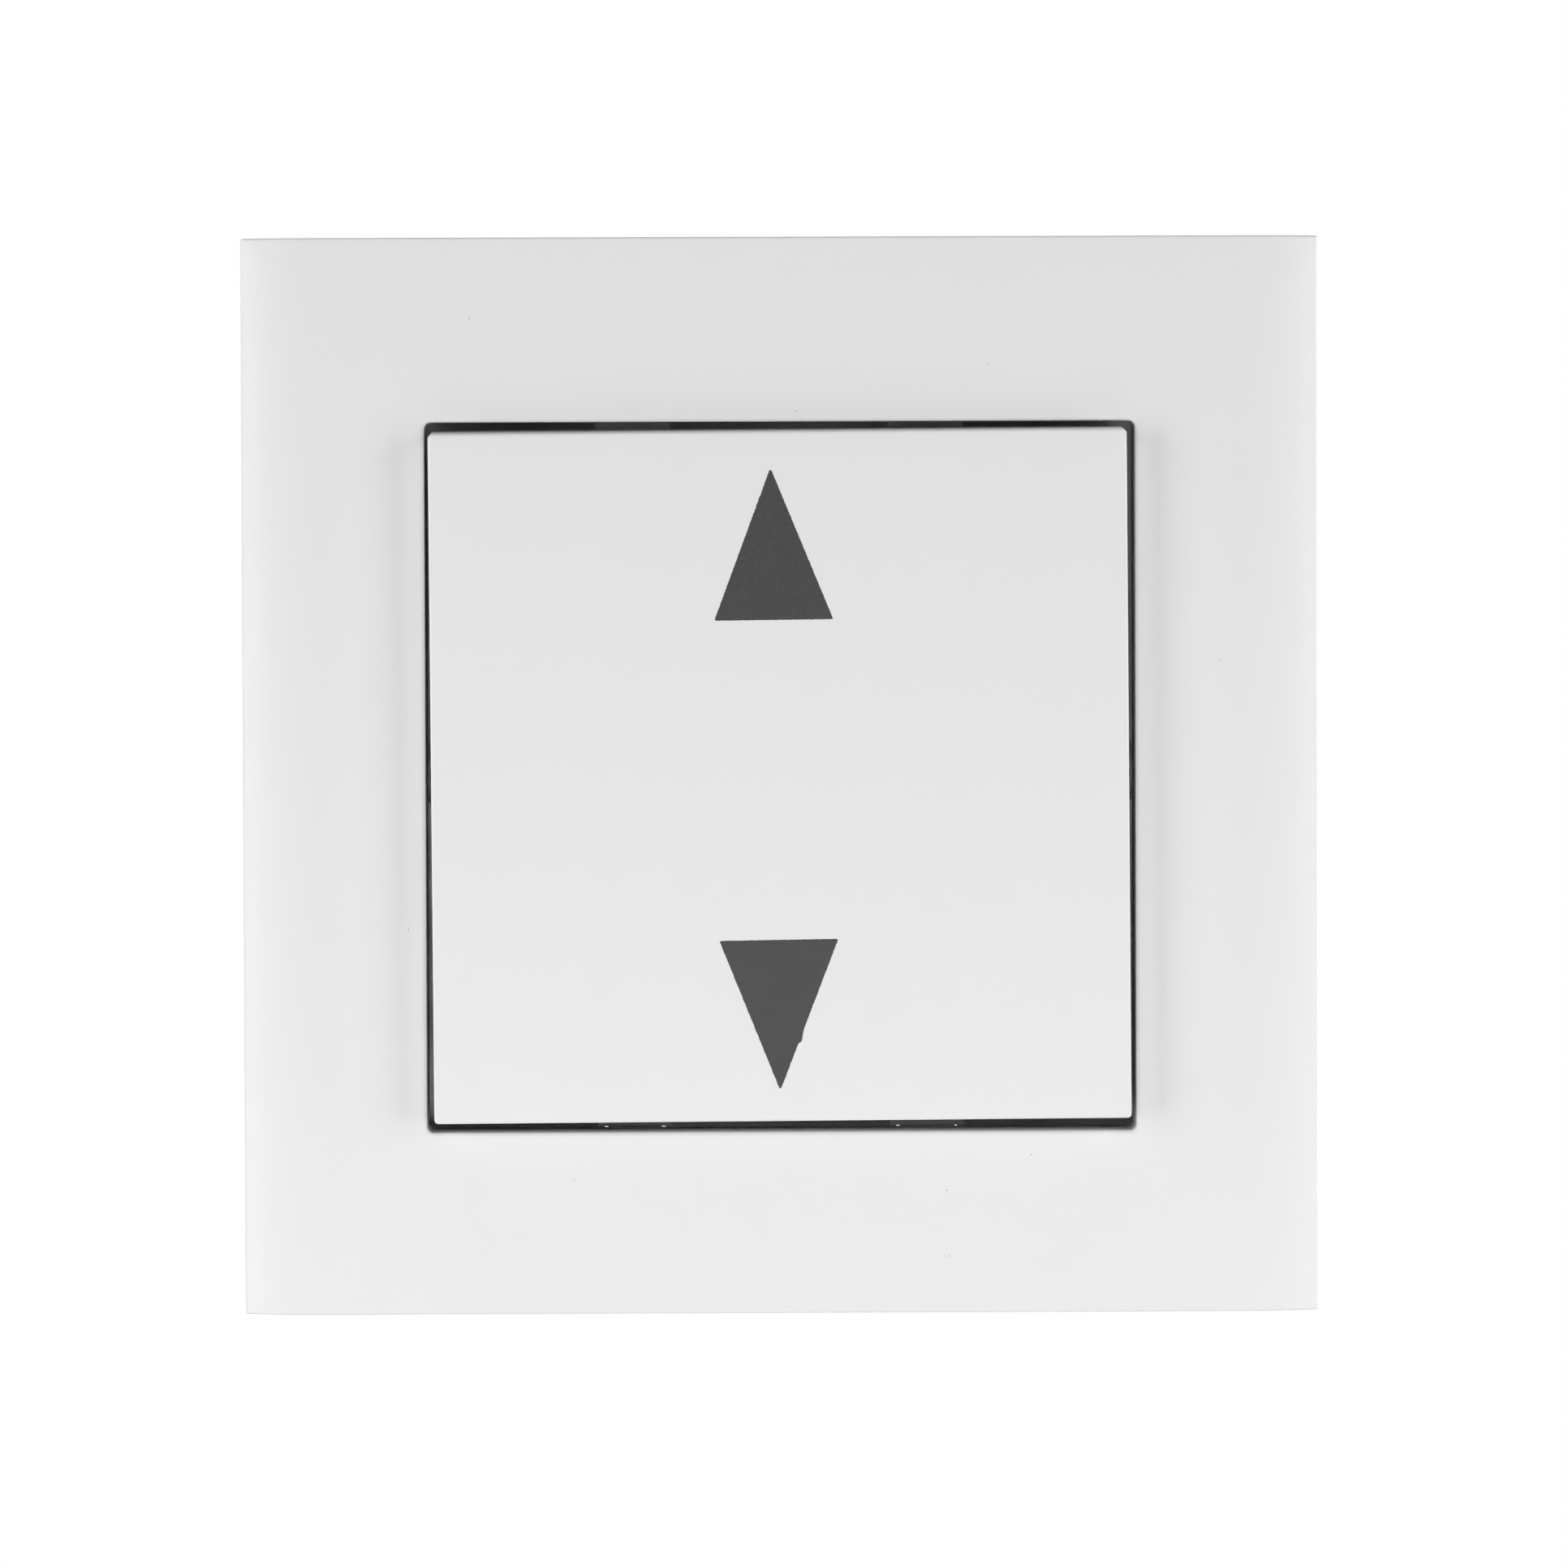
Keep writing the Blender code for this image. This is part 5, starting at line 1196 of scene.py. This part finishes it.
# Each finish's maker, its colour and roughness among the settings, and the maker's other values
FINISHES = {
    "frame_plastic": (white_plastic, "white", "frame_roughness", 0.6, 0.03),
    "rocker_plastic": (white_plastic, "white", "rocker_roughness", 0.3, 0.015),
    "housing_plastic": (plain_plastic, "housing_grey", "housing_roughness", 0.8),
    "lever_plastic": (plain_plastic, "lever_orange", "lever_roughness", 0.4),
    "zinc_steel": (metal, "zinc", "zinc_roughness", (0.42, 0.43, 0.44), 0.16, 0.3),
    "spring_steel": (metal, "spring_grey", "spring_roughness", (0.3, 0.29, 0.27), 0.12, 0.12),
    "brass": (metal, "brass_yellow", "brass_roughness", (0.45, 0.28, 0.1), 0.14, 0.25),
    "arrow_print": (arrow_print, "print_grey", "print_roughness"),
    "dust": (uneven_matt, "mote_grey", "mote_roughness", 9000.0, 0.7),
    "floor": (uneven_matt, "floor_white", "floor_roughness", 40.0, 0.98),
}


def finish(name):
    """A material of the table above, made when it is first asked for."""
    made = bpy.data.materials.get(f"{name}_finish")
    if made:
        return made
    made = bpy.data.materials.new(f"{name}_finish")
    made.use_nodes = True
    make, tone, roughness, *values = FINISHES[name]
    shader, look = made.node_tree.nodes["Principled BSDF"], settings().finishes
    make(Graph(made.node_tree), shader, getattr(look, tone), getattr(look, roughness), *values)
    return made


# Stage

# Each light's setting, place, width and height, in metres. All look at the frame's middle.
LIGHTS = {
    "left": ((-0.42, -0.30, 0.0), 0.20, 0.5),
    "left_low": ((-0.5, -0.06, 0.0), 0.10, 0.5),
    "right": ((0.42, -0.30, 0.0), 0.20, 0.5),
    "right_low": ((0.5, -0.06, 0.0), 0.10, 0.5),
    "above": ((0.0, -0.22, 0.45), 0.5, 0.22),
    "above_low": ((0.0, -0.06, 0.5), 0.5, 0.10),
    "below": ((0.0, -0.5, -0.1), 0.6, 0.1),
    "below_near": ((0.0, -0.14, -0.15), 0.3, 0.08),
    "behind_left": ((-0.4, 0.4, 0.25), 0.4, 0.4),
    "behind_right": ((0.45, 0.35, -0.05), 0.3, 0.3),
}
LIGHT_POWER = 4.0  # watts of each light at a strength of 1
FLOOR_POINTS = 33  # points along each side of the floor
FLOOR_BACK = 0.55  # how far the floor reaches behind the wall, as a share of its half width
FLOOR_SAG = 0.02  # metres that the floor sags one metre from its middle


def white_surround(strength):
    """A world that looks pure white and lights the scene with its own, lower strength."""
    world = bpy.data.worlds.new("white_surround")
    bpy.context.scene.world = world
    world.use_nodes = True
    g = Graph(world.node_tree)
    background = world.node_tree.nodes["Background"]
    seen = g.add("ShaderNodeLightPath").outputs["Is Camera Ray"]
    background.inputs["Color"].default_value = (1, 1, 1, 1)
    level = g.spread(seen, 0.0, 1.0, strength, 1.0)
    g.tree.links.new(level, background.inputs["Strength"])


def area_light(name, place, width, height, strength):
    """A soft rectangular light that looks at the frame's middle."""
    light = bpy.data.lights.new(f"light_{name}", "AREA")
    light.shape, light.size, light.size_y = "RECTANGLE", width, height
    light.energy = LIGHT_POWER * strength
    lamp = linked(f"light_{name}", light)
    lamp.visible_camera = False
    lamp.location = place
    lamp.rotation_mode = "QUATERNION"
    lamp.rotation_quaternion = (-Vector(place)).to_track_quat("-Z", "Y")
    return lamp


def stage_camera(s):
    """The camera as the photograph's, placed and turned by the corners of the frame and opening."""
    data = bpy.data.cameras.new("camera")
    data.lens, data.sensor_width, data.clip_start, data.clip_end = s.lens, 36, 0.01, 50
    camera = linked("camera", data)
    level = Matrix.Rotation(math.radians(90) + s.pitch, 4, "X")
    turned = Matrix.Rotation(-s.yaw, 4, "Z") @ level @ Matrix.Rotation(-s.roll, 4, "Z")
    camera.matrix_world = Matrix.Translation(s.camera_place) @ turned
    bpy.context.scene.camera = camera


def stage_floor(s):
    """A pale floor below the part, out of the camera's view: a grid that sags very slightly."""
    across = np.linspace(-s.floor_size, s.floor_size, FLOOR_POINTS)
    along = np.linspace(-s.floor_size, s.floor_size * FLOOR_BACK, FLOOR_POINTS)
    x, y = np.meshgrid(across, along, indexing="ij")
    z = -s.floor_drop - FLOOR_SAG * (x**2 + y**2)
    mesh = bpy.data.meshes.new("floor")
    faces = grid_faces(FLOOR_POINTS, FLOOR_POINTS, False, False)
    mesh.from_pydata(np.stack([x, y, z], axis=-1).reshape(-1, 3).tolist(), [], faces.tolist())
    mesh.shade_smooth()
    mesh.materials.append(finish("floor"))
    linked("floor", mesh)


class SHUTTER_OT_stage(bpy.types.Operator):
    """Set up the camera, the lights, the white surround and the floor"""

    bl_idname = "shutter.stage"
    bl_label = "Stage"

    def execute(self, context):
        s = settings().stage
        bpy.context.scene.view_settings.view_transform = "Standard"
        white_surround(s.surround)
        for name, (place, width, height) in LIGHTS.items():
            area_light(name, place, width, height, getattr(s, name))
        stage_camera(s)
        stage_floor(s)
        return {"FINISHED"}


# Add-on

OPERATORS = (
    SHUTTER_OT_cover_frame,
    SHUTTER_OT_rocker,
    SHUTTER_OT_arrows,
    SHUTTER_OT_dust,
    SHUTTER_OT_screws,
    SHUTTER_OT_springs,
    SHUTTER_OT_mouldings,
    SHUTTER_OT_stampings,
    SHUTTER_OT_stage,
)


class SHUTTER_PT_panel(bpy.types.Panel):
    """Lists the switch's operators and settings"""

    bl_idname = "SHUTTER_PT_panel"
    bl_label = "Roller shutter switch"
    bl_space_type = "VIEW_3D"
    bl_region_type = "UI"
    bl_category = "Shutter switch"

    def draw(self, context):
        for operator in OPERATORS:
            self.layout.operator(operator.bl_idname)
        for group_name in SwitchSettings.__annotations__:
            group = getattr(context.scene.shutter_switch, group_name)
            box = self.layout.box()
            for name in group.__annotations__:
                box.prop(group, name)


GROUPS = (FrameSizes, RockerSizes, ArrowSizes, InsertSizes, Finishes, StageSettings, SwitchSettings)
CLASSES = GROUPS + OPERATORS + (SHUTTER_PT_panel,)


def register():
    for cls in CLASSES:
        bpy.utils.register_class(cls)
    bpy.types.Scene.shutter_switch = PointerProperty(
        type=SwitchSettings, name="Shutter switch", description="All settings of the switch"
    )


def unregister():
    del bpy.types.Scene.shutter_switch
    for cls in reversed(CLASSES):
        bpy.utils.unregister_class(cls)


def main():
    register()
    bpy.ops.shutter.cover_frame()
    bpy.ops.shutter.rocker()
    bpy.ops.shutter.arrows()
    bpy.ops.shutter.dust()
    bpy.ops.shutter.screws()
    bpy.ops.shutter.springs()
    bpy.ops.shutter.mouldings()
    bpy.ops.shutter.stampings()
    bpy.ops.shutter.stage()


if __name__ == "__main__":
    main()
